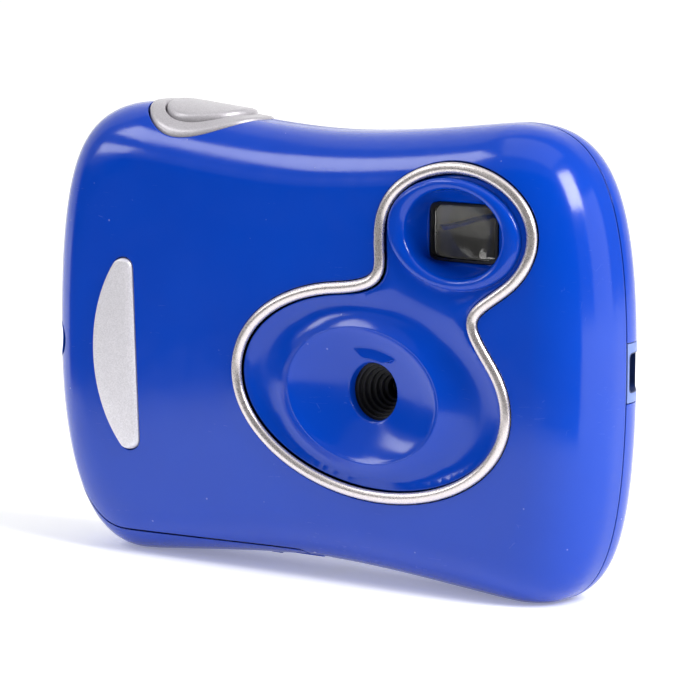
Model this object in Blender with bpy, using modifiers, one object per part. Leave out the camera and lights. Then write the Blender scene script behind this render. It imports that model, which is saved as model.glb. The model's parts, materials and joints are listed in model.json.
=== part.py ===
"""Compact toy camera with an optical viewfinder, built from its separate pieces.

Every length below is in millimetres, in the camera's own axes: X to the viewer's right, Y from the
parting plane towards the back, Z up, with the origin at the middle of the outline. MM turns lengths into
metres as a mesh is made, and the CAMERA_ORIGIN empty puts the middle of the base on the world's origin.
"""

import math

import bmesh
import bpy
from mathutils import Matrix, Vector
from mathutils.bvhtree import BVHTree

MM = 0.001
GAP = 0.3

# Case outline, seen from the front: four rounded lobes joined by a waist at the top and at the bottom
HALF_WIDTH = 54.2
TOP_LOBE_Z, BOTTOM_LOBE_Z = 38.4, -36.25
TOP_WAIST_Z, BOTTOM_WAIST_Z = 35.55, -33.55
# (x of the lobe's crest, Bezier handle up or down the side, handle outwards from the crest)
LOBES = {
    ("right", "top"): (35.5, 28.6, 13.3),
    ("left", "top"): (-35.2, 30.4, 14.0),
    ("left", "bottom"): (-37.4, 26.1, 8.9),
    ("right", "bottom"): (38.8, 28.2, 11.4),
}
# (handle inwards from the lobe's crest, handle outwards from the waist's middle)
WAIST_HANDLES = {"top": (3.9, 14.5), "bottom": (4.9, 13.8)}
CORNER_STEPS, WAIST_STEPS = 9, 6
BASE_Z = -35.9

# Case section: a straight wall, an elliptical fillet and a slightly domed face
WALL = 1.8
RIM = 0.15
FRONT = {"sign": -1, "straight": 2.2, "inset": 10.0, "depth": 10.4, "dome": 0.6}
REAR = {"sign": 1, "straight": 0.4, "inset": 11.0, "depth": 9.6, "dome": 1.9}
FILLET_ANGLES = (14.5, 36.0, 60.0, 90.0)
FACE_RINGS = (0.66, 0.33)
FRONT_REACH, REAR_REACH = 13.844, 11.9

# Lens panel and the trim ring round it: an ellipse round the lens blended with one round the viewfinder
LENS_LOOP = {"centre": (14.5, -4.4), "semi": (26.0, 16.2), "tilt": -5.5}
FINDER_LOOP = {"centre": (30.5, 21.4), "semi": (14.1, 10.4), "tilt": 0.0}
LOOP_BLEND = 11.0
LOOP_START = (24.0, 8.0)
LOOP_POINTS = 64
TRIM_RADIUS = 0.72
TRIM_GAP = 1.05
PANEL_SINK, PANEL_THICKNESS = 0.4, 2.6

# Lens and camera module
LENS_X, LENS_Z = 13.8, -4.6
LENS_HOLE_RADIUS = 4.65
MOUND_SEMI, MOUND_HEIGHT = (14.7, 11.0), 13.2
BAFFLE_STEPS = 6
BAFFLE_FRONT, BAFFLE_BACK = 8.7, 3.4
BARREL_RADIUS, BARREL_BORE = 3.7, 2.7

# Viewfinder
FINDER_X, FINDER_Z = 30.2, 21.6
FINDER_LIP = (10.9, 7.5)
FINDER_CUP = (9.2, 6.9)
WINDOW_X, WINDOW_Z = 29.2, 21.4
WINDOW_SIZE = (13.0, 9.3)
CUP_FLOOR = 8.2
EYEPIECE_SIZE = (11.0, 8.0)

# Grip accent: a straight back edge and a bulged outer edge
ACCENT_TOP, ACCENT_BOTTOM = (-34.6, 13.6), (-33.2, -18.4)
ACCENT_BULGE = 8.1
ACCENT_FRONT = 13.5

# Shutter release on the top
BEZEL = {"centre": (-27.0, -0.95), "left": 9.6, "right": 11.8, "half": 9.4}
BUTTON = {"centre": (-26.8, -0.6), "left": 6.9, "right": 8.0, "half": 7.4}
BEZEL_LOW, BEZEL_THICKNESS, BEZEL_PROUD = 32.4, 3.2, 0.35
BUTTON_TOP, BUTTON_FALL, BUTTON_TILT = 38.95, 1.5, 0.09
BUTTON_BOTTOM = 34.6
SKIRT_HALF, SKIRT_WALL = 5.9, 1.3
FLANGE_BOTTOM, FLANGE_TOP, FLANGE_REACH = 31.0, 32.0, 0.6
SHUTTER_SPRING_RADIUS = 3.8
SHUTTER_BOARD_TOP = 28.6

# Batteries: three AAA cells standing side by side
CELL_RADIUS = 5.2
CELL_X = (-36.0, -25.0, -14.0)
CELL_BOTTOM, CELL_TOP = -29.0, 15.5
TRAY = {"left": -42.6, "right": -7.4, "half_depth": 6.4, "bottom": -30.7, "top": 19.5}
CONTACT = 0.4

# Battery door: everything below this line, with its hinge at the right end
DOOR_LINE_Z = -32.1
DOOR_RIGHT = -1.9
DOOR_LEFT_CURVE = ((-36.0, -32.1), (-45.5, -32.1), (-44.5, -24.5), (-56.0, -21.5))
DOOR_PEDESTAL_Z = -31.9
HINGE_X, HINGE_Z = 0.35, -31.6
HINGE_RADIUS, PIN_RADIUS, PIN_GAP = 1.55, 0.6, 0.1
HINGE_FRONT, HINGE_BACK = -5.6, 1.8
LUG_GAP, LUG_THICKNESS = 0.5, 1.5

# Data port, on the right side behind the parting plane
PORT_LOW, PORT_HIGH = (0.3, -3.9), (8.6, 5.3)
PORT_OPENING_LOW, PORT_OPENING_HIGH = (0.75, -2.45), (7.7, 3.85)
PORT_DEPTH_X = 46.6
CONNECTOR_FRONT_X = 46.3

# Hand strap channel: a bent tube between a hole in each shell
STRAP_RADIUS = 2.85
STRAP_WALL = 0.8
STRAP_Z = -1.5
STRAP_PATH = ((-54.8, -14.2), (-49.6, -7.8), (-47.6, -2.6), (-47.6, 1.6), (-49.9, 6.0), (-55.6, 11.4))

# Boards and back
BOARD_FRONT_Y, BOARD_BACK_Y = 5.4, 6.4
BOARD = {"left": -5.4, "right": 43.0, "bottom": -22.8, "top": 14.2}
LCD_X, LCD_Z = 12.0, -4.0
LCD_SIZE, LCD_WINDOW = (25.0, 17.0), (18.6, 11.6)
BACK_BUTTONS = {"power": (32.0, 3.0), "mode": (32.0, -11.0)}
BACK_BUTTON_RADIUS, BACK_FLANGE_RADIUS, BACK_BUTTON_BASE = 3.1, 3.9, 8.0
CASE_SCREWS = ((-47.0, -13.5), (-44.6, 22.5), (44.5, 28.9), (43.6, -27.0))
BOARD_SCREWS = ((-1.8, 10.6), (38.8, -20.0))
BOSS_RADIUS, WELL_RADIUS, WELL_FLOOR_Y = 2.3, 2.4, 5.6


# ---- scene and helpers ---------------------------------------------------------------------------

for old in list(bpy.data.objects):
    bpy.data.objects.remove(old, do_unlink=True)

PARTS = bpy.data.collections.new("compact_camera")
CUTTERS = bpy.data.collections.new("cutters")
for group in (PARTS, CUTTERS):
    bpy.context.scene.collection.children.link(group)

CAMERA_ORIGIN = bpy.data.objects.new("camera_origin", None)
CAMERA_ORIGIN.location = (0, (FRONT_REACH - REAR_REACH) / 2 * MM, -BASE_Z * MM)
PARTS.objects.link(CAMERA_ORIGIN)


def material(name, colour, roughness, metallic=0.0, alpha=1.0):
    made = bpy.data.materials.new(name)
    made.use_nodes = True
    shader = made.node_tree.nodes["Principled BSDF"]
    shader.inputs["Base Color"].default_value = (*colour, 1.0)
    shader.inputs["Roughness"].default_value = roughness
    shader.inputs["Metallic"].default_value = metallic
    shader.inputs["Alpha"].default_value = alpha
    return made


BLUE = material("blue_plastic", (0.0, 0.06, 0.48), 0.18)
SILVER = material("silver_paint", (0.62, 0.60, 0.61), 0.35, 0.6)
BLACK = material("black_plastic", (0.01, 0.01, 0.012), 0.5)
CLEAR = material("clear_plastic", (0.9, 0.92, 0.95), 0.05, 0.0, 0.35)
STEEL = material("plated_steel", (0.6, 0.6, 0.6), 0.3, 1.0)
BRASS = material("brass", (0.7, 0.5, 0.2), 0.35, 1.0)
GREEN = material("circuit_board", (0.01, 0.12, 0.05), 0.45)
CELL_JACKET = material("cell_jacket", (0.05, 0.05, 0.06), 0.3, 0.4)
PORT_GREY = material("port_grey", (0.25, 0.32, 0.6), 0.4)
GUIDE_BLUE = material("guide_blue", (0.0, 0.03, 0.25), 0.4)


def add_object(name, data, finish):
    """Adds a part, or a hidden cutter when it has no finish."""
    made = bpy.data.objects.new(name, data)
    made.parent = CAMERA_ORIGIN
    if finish:
        data.materials.append(finish)
        PARTS.objects.link(made)
    else:
        CUTTERS.objects.link(made)
        made.hide_render = True
        made.display_type = "WIRE"
    return made


def from_bmesh(name, shape, finish):
    shape.transform(Matrix.Scale(MM, 4))
    data = bpy.data.meshes.new(name)
    shape.to_mesh(data)
    shape.free()
    return add_object(name, data, finish)


def box(name, low, high, finish=None):
    low, high = Vector(low), Vector(high)
    shape = bmesh.new()
    place = Matrix.Translation((low + high) / 2) @ Matrix.Diagonal((*(high - low), 1.0))
    bmesh.ops.create_cube(shape, size=1.0, matrix=place)
    return from_bmesh(name, shape, finish)


def cylinder(name, start, end, radius, finish=None, segments=24, end_radius=None):
    """A cylinder or cone from one point to another."""
    start, end = Vector(start), Vector(end)
    along = end - start
    place = Matrix.Translation((start + end) / 2) @ along.to_track_quat("Z", "Y").to_matrix().to_4x4()
    shape = bmesh.new()
    bmesh.ops.create_cone(
        shape, cap_ends=True, segments=segments, radius1=radius,
        radius2=radius if end_radius is None else end_radius, depth=along.length, matrix=place,
    )
    return from_bmesh(name, shape, finish)


def loft(name, rings, finish=None, first_tip=None, last_tip=None):
    """A skin over rings of equally many points, closed at an end that has a tip."""
    shape = bmesh.new()
    rows = [[shape.verts.new(point) for point in ring] for ring in rings]
    count = len(rows[0])
    for near, far in zip(rows, rows[1:]):
        for i in range(count):
            j = (i + 1) % count
            shape.faces.new((near[i], near[j], far[j], far[i]))
    for row, tip in ((rows[0], first_tip), (rows[-1], last_tip)):
        if tip is not None:
            top = shape.verts.new(tip)
            for i in range(count):
                shape.faces.new((row[i], row[(i + 1) % count], top))
    bmesh.ops.recalc_face_normals(shape, faces=shape.faces)
    return from_bmesh(name, shape, finish)


def prism(name, outline, along, low, high, finish=None):
    """A flat outline pushed along Y or Z. An outline for Y is (x, z) points, and one for Z is (x, y)."""
    if along == "Y":
        ends = [[(x, level, z) for x, z in outline] for level in (low, high)]
    else:
        ends = [[(x, y, level) for x, y in outline] for level in (low, high)]
    shape = bmesh.new()
    rows = [[shape.verts.new(point) for point in ring] for ring in ends]
    count = len(outline)
    for i in range(count):
        j = (i + 1) % count
        shape.faces.new((rows[0][i], rows[0][j], rows[1][j], rows[1][i]))
    for row in rows:
        shape.faces.new(row)
    bmesh.ops.recalc_face_normals(shape, faces=shape.faces)
    return from_bmesh(name, shape, finish)


def turned(name, profile, place, along, finish, steps=24):
    """A profile of (radius, height) points, outer side first from the top down, turned round an axis."""
    data = bpy.data.meshes.new(name)
    points = [(radius * MM, 0.0, height * MM) for radius, height in profile]
    edges = [(i, i + 1) for i in range(len(profile) - 1)]
    if profile[0][0] > 0:
        edges.append((len(profile) - 1, 0))
    data.from_pydata(points, edges, [])
    made = add_object(name, data, finish)
    made.location = Vector(place) * MM
    if along == "front":
        made.rotation_euler = (math.pi / 2, 0, 0)
    if along == "back":
        made.rotation_euler = (-math.pi / 2, 0, 0)
    screw = made.modifiers.new("turn", "SCREW")
    screw.steps = screw.render_steps = steps
    screw.use_merge_vertices = True
    screw.merge_threshold = 1e-5
    return made


def wire(name, points, radius, finish, cyclic=False):
    """A round bar along points."""
    data = bpy.data.curves.new(name, "CURVE")
    data.dimensions = "3D"
    data.bevel_depth = radius * MM
    data.bevel_resolution = 2
    data.use_fill_caps = not cyclic
    spline = data.splines.new("POLY")
    spline.points.add(len(points) - 1)
    for slot, point in zip(spline.points, points):
        slot.co = (*(Vector(point) * MM), 1.0)
    spline.use_cyclic_u = cyclic
    return add_object(name, data, finish)


def change(target, tool, operation="DIFFERENCE"):
    """Cuts, joins or intersects target with tool."""
    step = target.modifiers.new(tool.name, "BOOLEAN")
    step.operation = operation
    step.object = tool
    return target


def thicken(target, thickness, outward=0.0):
    """Gives a skin a thickness, its outer side moved outwards from where the skin is."""
    step = target.modifiers.new("wall", "SOLIDIFY")
    step.thickness = thickness * MM
    step.offset = 2 * outward / thickness - 1
    step.use_even_offset = True
    return target


def set_pivot(target, place):
    """Moves a piece's origin onto its joint's axis."""
    place = Vector(place) * MM
    target.data.transform(Matrix.Translation(-place))
    target.location = place


def coil(name, centre, radius, wire_radius, turns, bottom, top, finish, top_radius=None):
    """A compression spring standing along Z."""
    per_turn = 10
    top_radius = top_radius or radius
    points = []
    for i in range(int(turns * per_turn) + 1):
        share = i / (turns * per_turn)
        angle = 2 * math.pi * i / per_turn
        reach = radius + (top_radius - radius) * share
        points.append((
            centre[0] + reach * math.cos(angle),
            centre[1] + reach * math.sin(angle),
            bottom + (top - bottom) * share,
        ))
    return wire(name, points, wire_radius, finish)


# ---- outlines ------------------------------------------------------------------------------------


def bezier(p0, p1, p2, p3, steps):
    points = []
    for i in range(steps + 1):
        t = i / steps
        a, b, c, d = (1 - t) ** 3, 3 * t * (1 - t) ** 2, 3 * t * t * (1 - t), t**3
        points.append(tuple(a * p0[k] + b * p1[k] + c * p2[k] + d * p3[k] for k in (0, 1)))
    return points


def quadrant(side, end):
    """A quarter of the case outline, from the middle of the side to the middle of the waist."""
    crest_x, side_handle, crest_handle = LOBES[side, end]
    out = 1 if side == "right" else -1
    up = 1 if end == "top" else -1
    crest_z = TOP_LOBE_Z if end == "top" else BOTTOM_LOBE_Z
    waist_z = TOP_WAIST_Z if end == "top" else BOTTOM_WAIST_Z
    inner, outer = WAIST_HANDLES[end]
    corner = bezier(
        (out * HALF_WIDTH, 0), (out * HALF_WIDTH, up * side_handle),
        (crest_x + out * crest_handle, crest_z), (crest_x, crest_z), CORNER_STEPS,
    )
    waist = bezier(
        (crest_x, crest_z), (crest_x - out * inner, crest_z), (out * outer, waist_z), (0, waist_z),
        WAIST_STEPS,
    )
    return corner[:-1] + waist


def offset_outline(points, distance):
    """A closed outline, listed anticlockwise, moved outwards by a distance."""
    moved = []
    for i, (x, z) in enumerate(points):
        before, after = points[i - 1], points[(i + 1) % len(points)]
        run, rise = after[0] - before[0], after[1] - before[1]
        length = math.hypot(run, rise)
        moved.append((x + distance * rise / length, z - distance * run / length))
    return moved


CASE_OUTLINE = (
    quadrant("right", "top")[:-1]
    + quadrant("left", "top")[:0:-1]
    + quadrant("left", "bottom")[:-1]
    + quadrant("right", "bottom")[:0:-1]
)


def ellipse_distance(loop, x, z):
    """About how far a point lies outside a tilted ellipse."""
    tilt = math.radians(loop["tilt"])
    x, z = x - loop["centre"][0], z - loop["centre"][1]
    u = x * math.cos(tilt) + z * math.sin(tilt)
    v = z * math.cos(tilt) - x * math.sin(tilt)
    a, b = loop["semi"]
    level = math.hypot(u / a, v / b)
    return level * (level - 1) / max(math.hypot(u / a**2, v / b**2), 1e-9)


def loop_distance(x, z):
    """The same for the two ellipses, with their necks filled smoothly."""
    first, second = ellipse_distance(LENS_LOOP, x, z), ellipse_distance(FINDER_LOOP, x, z)
    share = min(max(0.5 + 0.5 * (second - first) / LOOP_BLEND, 0), 1)
    return second * (1 - share) + first * share - LOOP_BLEND * share * (1 - share)


def loop_outline(offset=0.0):
    """The panel's loop, found along rays from a point inside it, then moved outwards."""
    points = []
    for i in range(LOOP_POINTS):
        angle = 2 * math.pi * i / LOOP_POINTS
        near, far = 1.0, 60.0
        for _ in range(30):
            middle = (near + far) / 2
            inside = loop_distance(
                LOOP_START[0] + middle * math.cos(angle), LOOP_START[1] + middle * math.sin(angle)
            ) < 0
            near, far = (middle, far) if inside else (near, middle)
        points.append((LOOP_START[0] + near * math.cos(angle), LOOP_START[1] + near * math.sin(angle)))
    return offset_outline(points, offset) if offset else points


def ellipse(centre, semi, count=32):
    turn = [2 * math.pi * i / count for i in range(count)]
    return [(centre[0] + semi[0] * math.cos(a), centre[1] + semi[1] * math.sin(a)) for a in turn]


def egg(shape, grow=0.0, count=28):
    """The shutter's plan outline: round on the left, drawn out on the right."""
    points = []
    for i in range(count):
        angle = 2 * math.pi * i / count
        reach = shape["right"] if math.cos(angle) > 0 else shape["left"]
        points.append((
            shape["centre"][0] + (reach + grow) * math.cos(angle),
            shape["centre"][1] + (shape["half"] + grow) * math.sin(angle),
        ))
    return points


def rounded_rectangle(centre, size, radius, steps=3):
    points = []
    for corner, (sx, sz) in enumerate(((1, 1), (-1, 1), (-1, -1), (1, -1))):
        cx = centre[0] + sx * (size[0] / 2 - radius)
        cz = centre[1] + sz * (size[1] / 2 - radius)
        for k in range(steps + 1):
            angle = math.pi / 2 * (corner + k / steps)
            points.append((cx + radius * math.cos(angle), cz + radius * math.sin(angle)))
    return points


def accent_outline(grow=0.0):
    """The grip accent: a straight edge on the right and an arc on the left, with rounded ends."""
    (top_x, top_z), (bottom_x, bottom_z) = ACCENT_TOP, ACCENT_BOTTOM
    points = []
    steps = 12
    for i in range(steps + 1):
        share = i / steps
        bulge = ACCENT_BULGE * (1 - (2 * share - 1) ** 2) ** 0.8
        points.append((
            top_x + (bottom_x - top_x) * share - 0.6 - bulge + 1.2 * (2 * share - 1) ** 2,
            top_z + (bottom_z - top_z) * share,
        ))
    points.append((bottom_x + 1.3, bottom_z + 1.2))
    points.append((top_x + 1.3, top_z - 1.2))
    return offset_outline(points, grow) if grow else points


# ---- case skins ----------------------------------------------------------------------------------


def inset_outline(distance, limit):
    """The case outline moved inwards: an even inset at first, and a scaled outline at the face."""
    even = offset_outline(CASE_OUTLINE, -distance)
    scale_x, scale_z = 1 - distance / HALF_WIDTH, 1 - distance / TOP_LOBE_Z
    share = min(distance / limit, 1.0)
    return [
        (even_x + (x * scale_x - even_x) * share, even_z + (z * scale_z - even_z) * share)
        for (x, z), (even_x, even_z) in zip(CASE_OUTLINE, even)
    ]


def section(shape, shrink=0.0, rim=False):
    """The rings of one half of the case, from the parting plane to the face, and the face's middle point."""
    sign = shape["sign"]

    def ring(inset, depth, scale=1.0):
        points = inset_outline(inset, shape["inset"])
        return [(x * scale, sign * depth, max(z * scale, BASE_Z + shrink)) for x, z in points]

    run, depth = shape["inset"] - shrink, shape["depth"] - shrink
    straight = shape["straight"]
    rings = [ring(shrink, RIM)] if rim else []
    rings.append(ring(shrink, straight))
    for degrees in FILLET_ANGLES:
        angle = math.radians(degrees)
        rings.append(ring(shrink + run * (1 - math.cos(angle)), straight + depth * math.sin(angle)))
    for scale in FACE_RINGS:
        height = straight + depth + shape["dome"] * (1 - scale**2) ** 2
        rings.append(ring(shape["inset"], height, scale))
    return rings, (0, sign * (straight + depth + shape["dome"]), 0)


def half_skin(name, shape, finish=None):
    rings, tip = section(shape, rim=True)
    return loft(name, rings, finish, last_tip=tip)


def whole_body(name, shrink=0.0, finish=None):
    """The closed outer form of the case, or its inside when it is shrunk."""
    front, front_tip = section(FRONT, shrink)
    rear, rear_tip = section(REAR, shrink)
    return loft(name, rear[::-1] + front, finish, rear_tip, front_tip)


def surface_finder():
    """A function that gives the y of the front face at (x, z)."""
    rings, tip = section(FRONT)
    points = [point for ring in rings for point in ring] + [tip]
    count, last = len(rings[0]), len(points) - 1
    faces = []
    for row in range(len(rings) - 1):
        for i in range(count):
            j = (i + 1) % count
            faces.append((row * count + i, row * count + j, (row + 1) * count + j, (row + 1) * count + i))
    start = (len(rings) - 1) * count
    faces += [(start + i, start + (i + 1) % count, last) for i in range(count)]
    tree = BVHTree.FromPolygons(points, faces)
    return lambda x, z: tree.ray_cast(Vector((x, -50, z)), Vector((0, 1, 0)))[0].y


FRONT_FACE = surface_finder()
BODY = whole_body("body_form")
CAVITY = whole_body("cavity_form", WALL + GAP)


# ---- shells --------------------------------------------------------------------------------------


def strap_tool(name, radius, finish=None):
    """The strap channel's bore, or its tube's outside, along the bent path."""
    path = [Vector((x, y, STRAP_Z)) for x, y in STRAP_PATH]
    rings = []
    for i, point in enumerate(path):
        along = (path[min(i + 1, len(path) - 1)] - path[max(i - 1, 0)]).normalized()
        side = along.cross(Vector((0, 0, 1)))
        turn = [2 * math.pi * k / 16 for k in range(16)]
        rings.append([point + radius * (math.cos(a) * side + math.sin(a) * Vector((0, 0, 1))) for a in turn])
    return loft(name, rings, finish, path[0], path[-1])


def door_region(name, grow):
    """The prism that holds the battery door, grown to leave a seam round it."""
    left = bezier(*DOOR_LEFT_CURVE, 6)
    outline = [(DOOR_RIGHT, -45.0), (DOOR_RIGHT, DOOR_LINE_Z - 1.4), (DOOR_RIGHT - 0.5, DOOR_LINE_Z - 0.4),
               (DOOR_RIGHT - 1.6, DOOR_LINE_Z)] + left + [(-70.0, -21.5), (-70.0, -45.0)]
    return prism(name, offset_outline(outline, grow) if grow else outline, "Y", -20, 20)


STRAP_BORE = strap_tool("strap_bore", STRAP_RADIUS)
DOOR_CUT = door_region("door_cut", GAP)
HINGE_CUT = box(
    "hinge_cut", (DOOR_RIGHT - 1.0, HINGE_FRONT - GAP, -40),
    (HINGE_X + HINGE_RADIUS + GAP, HINGE_BACK + GAP, HINGE_Z + HINGE_RADIUS + GAP),
)
PIN_BORE = cylinder(
    "pin_bore", (HINGE_X, -9.2, HINGE_Z), (HINGE_X, 6.0, HINGE_Z), PIN_RADIUS + PIN_GAP, segments=12
)
BEZEL_CUT = prism("bezel_cut", egg(BEZEL, GAP), "Z", BEZEL_LOW - GAP, 45)


def add_lug(shell, start, side):
    """A block that holds one end of the hinge pin, joined to the shell's floor."""
    low, high = sorted((start + side * LUG_GAP, start + side * (LUG_GAP + LUG_THICKNESS)))
    lug = box(f"{shell.name}_lug", (HINGE_X - 1.5, low, -35), (HINGE_X + 1.5, high, HINGE_Z + 1.6))
    change(lug, BODY, "INTERSECT")
    change(shell, lug, "UNION")


def front_cover():
    shell = thicken(half_skin("front_cover", FRONT, BLUE), WALL)
    for number, (x, z) in enumerate(CASE_SCREWS, 1):
        top = (x, WELL_FLOOR_Y - WALL - GAP, z)
        boss = cylinder(f"front_boss_{number}", (x, -11.9, z), top, BOSS_RADIUS)
        change(boss, BODY, "INTERSECT")
        change(shell, boss, "UNION")
    add_lug(shell, HINGE_FRONT, -1)
    change(shell, prism("panel_opening", loop_outline(TRIM_GAP), "Y", -20, -5))
    pocket = prism("accent_pocket", accent_outline(GAP), "Y", -20, -FRONT["straight"] - FRONT["depth"] + 0.9)
    change(shell, pocket)
    for number, (x, z) in enumerate(CASE_SCREWS, 1):
        change(shell, cylinder(f"front_pilot_{number}", (x, -5.0, z), (x, 10, z), 1.1, segments=12))
    for tool in (STRAP_BORE, DOOR_CUT, HINGE_CUT, BEZEL_CUT, PIN_BORE):
        change(shell, tool)


def rear_cover():
    shell = thicken(half_skin("rear_cover", REAR, BLUE), WALL)
    for number, (x, z) in enumerate(CASE_SCREWS, 1):
        cup = cylinder(f"rear_cup_{number}", (x, WELL_FLOOR_Y - WALL, z), (x, 14, z), WELL_RADIUS + 1.1)
        change(cup, BODY, "INTERSECT")
        change(shell, cup, "UNION")
    add_lug(shell, HINGE_BACK, 1)
    for number, (x, z) in enumerate(CASE_SCREWS, 1):
        change(shell, cylinder(f"screw_well_{number}", (x, WELL_FLOOR_Y, z), (x, 16, z), WELL_RADIUS))
        change(shell, cylinder(f"screw_hole_{number}", (x, 0, z), (x, 16, z), 1.25, segments=12))
    eyepiece = rounded_rectangle((WINDOW_X, WINDOW_Z), [side + 2 * GAP for side in EYEPIECE_SIZE], 1.2)
    change(shell, prism("eyepiece_opening", eyepiece, "Y", 4, 20))
    screen = rounded_rectangle((LCD_X, LCD_Z), [side + 2 * GAP for side in LCD_WINDOW], 1.2)
    change(shell, prism("screen_opening", screen, "Y", 4, 20))
    for name, (x, z) in BACK_BUTTONS.items():
        change(shell, cylinder(f"{name}_opening", (x, 4, z), (x, 20, z), BACK_BUTTON_RADIUS + GAP))
    low = (40.0, RIM - 0.5, PORT_LOW[1] - GAP)
    high = (60.0, PORT_HIGH[0] + GAP, PORT_HIGH[1] + GAP)
    change(shell, box("port_notch", low, high))
    for tool in (STRAP_BORE, DOOR_CUT, HINGE_CUT, BEZEL_CUT, PIN_BORE):
        change(shell, tool)


def battery_door():
    """The wrapped corner of the case with a hinge barrel at its right end."""
    door = thicken(whole_body("battery_door", finish=BLUE), WALL)
    change(door, door_region("door_form", 0.0), "INTERSECT")
    pedestal = box("contact_pedestal", (CELL_X[0] - 4.5, -3.4, -40), (CELL_X[2] + 4.5, 3.4, DOOR_PEDESTAL_Z))
    change(pedestal, BODY, "INTERSECT")
    change(door, pedestal, "UNION")
    low = (DOOR_RIGHT - 3.0, HINGE_FRONT, HINGE_Z - HINGE_RADIUS)
    web = box("hinge_web", low, (HINGE_X - 0.4, HINGE_BACK, DOOR_LINE_Z - 0.1))
    change(door, web, "UNION")
    ends = (HINGE_X, HINGE_FRONT, HINGE_Z), (HINGE_X, HINGE_BACK, HINGE_Z)
    change(door, cylinder("hinge_barrel", *ends, HINGE_RADIUS), "UNION")
    change(door, PIN_BORE)
    set_pivot(door, (HINGE_X, 0, HINGE_Z))
    front_end, back_end = HINGE_FRONT - LUG_GAP - LUG_THICKNESS, HINGE_BACK + LUG_GAP + LUG_THICKNESS - 0.2
    ends = (HINGE_X, front_end, HINGE_Z), (HINGE_X, back_end, HINGE_Z)
    cylinder("door_hinge_pin", *ends, PIN_RADIUS, STEEL, segments=12)


def strap_guide():
    guide = strap_tool("strap_guide", STRAP_RADIUS + STRAP_WALL, GUIDE_BLUE)
    change(guide, CAVITY, "INTERSECT")
    change(guide, STRAP_BORE)


# ---- front details -------------------------------------------------------------------------------


def lens_panel():
    panel = thicken(half_skin("lens_panel", FRONT, BLUE), PANEL_THICKNESS, -PANEL_SINK)
    change(panel, prism("panel_form", loop_outline(-TRIM_GAP), "Y", -20, -5), "INTERSECT")
    levels = ((1.2, 11.4), (1.04, 12.9), (1.0, MOUND_HEIGHT))
    rings = []
    for scale, height in levels:
        flat = ellipse((LENS_X, LENS_Z), [semi * scale for semi in MOUND_SEMI])
        rings.append([(x, -height, z) for x, z in flat])
    mound = loft("lens_mound", rings, None, (LENS_X, -levels[0][1], LENS_Z), (LENS_X, -MOUND_HEIGHT, LENS_Z))
    change(panel, mound, "UNION")
    lip_rings = []
    for k in range(12):
        angle = 2 * math.pi * k / 12
        semi = [side + 1.3 * math.cos(angle) for side in FINDER_LIP]
        height = 12.2 + 1.3 * math.sin(angle)
        lip_rings.append([(x, -height, z) for x, z in ellipse((FINDER_X, FINDER_Z), semi)])
    lip = loft("finder_lip", lip_rings + lip_rings[:1])
    join_ends(lip)
    change(panel, lip, "UNION")
    outer = ellipse((FINDER_X, FINDER_Z), [side + 1.5 for side in FINDER_CUP])
    cup_back = prism("cup_back", outer, "Y", -11.4, -CUP_FLOOR + 1.3)
    change(panel, cup_back, "UNION")
    change(panel, lens_bowl())
    change(panel, cylinder("lens_hole", (LENS_X, -20, LENS_Z), (LENS_X, -5, LENS_Z), LENS_HOLE_RADIUS))
    change(panel, prism("finder_cup", ellipse((FINDER_X, FINDER_Z), FINDER_CUP), "Y", -20, -CUP_FLOOR))
    opening = rounded_rectangle((WINDOW_X, WINDOW_Z), WINDOW_SIZE, 1.5)
    change(panel, prism("window_opening", opening, "Y", -20, -4))


def join_ends(target):
    """Joins the first and last ring of a ring-shaped loft."""
    shape = bmesh.new()
    shape.from_mesh(target.data)
    bmesh.ops.remove_doubles(shape, verts=shape.verts, dist=1e-7)
    bmesh.ops.recalc_face_normals(shape, faces=shape.faces)
    shape.to_mesh(target.data)
    shape.free()


def lens_bowl():
    """A shallow ellipsoid that hollows the mound into a dish."""
    shape = bmesh.new()
    place = Matrix.Translation((LENS_X, -15.6, LENS_Z)) @ Matrix.Diagonal((15.8, 5.3, 11.8, 1.0))
    bmesh.ops.create_uvsphere(shape, u_segments=28, v_segments=14, radius=1.0, matrix=place)
    return from_bmesh("lens_bowl", shape, None)


def trim_ring():
    points = [(x, FRONT_FACE(x, z), z) for x, z in loop_outline()]
    wire("trim_ring", points, TRIM_RADIUS, SILVER, cyclic=True)


def grip_accent():
    back = -FRONT["straight"] - FRONT["depth"] + 0.6
    accent = prism("grip_accent", accent_outline(), "Y", -ACCENT_FRONT, back, SILVER)
    bevel = accent.modifiers.new("edge", "BEVEL")
    bevel.width = 0.5 * MM
    bevel.segments = 2
    bevel.limit_method = "ANGLE"
    bevel.angle_limit = math.radians(50)


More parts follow.
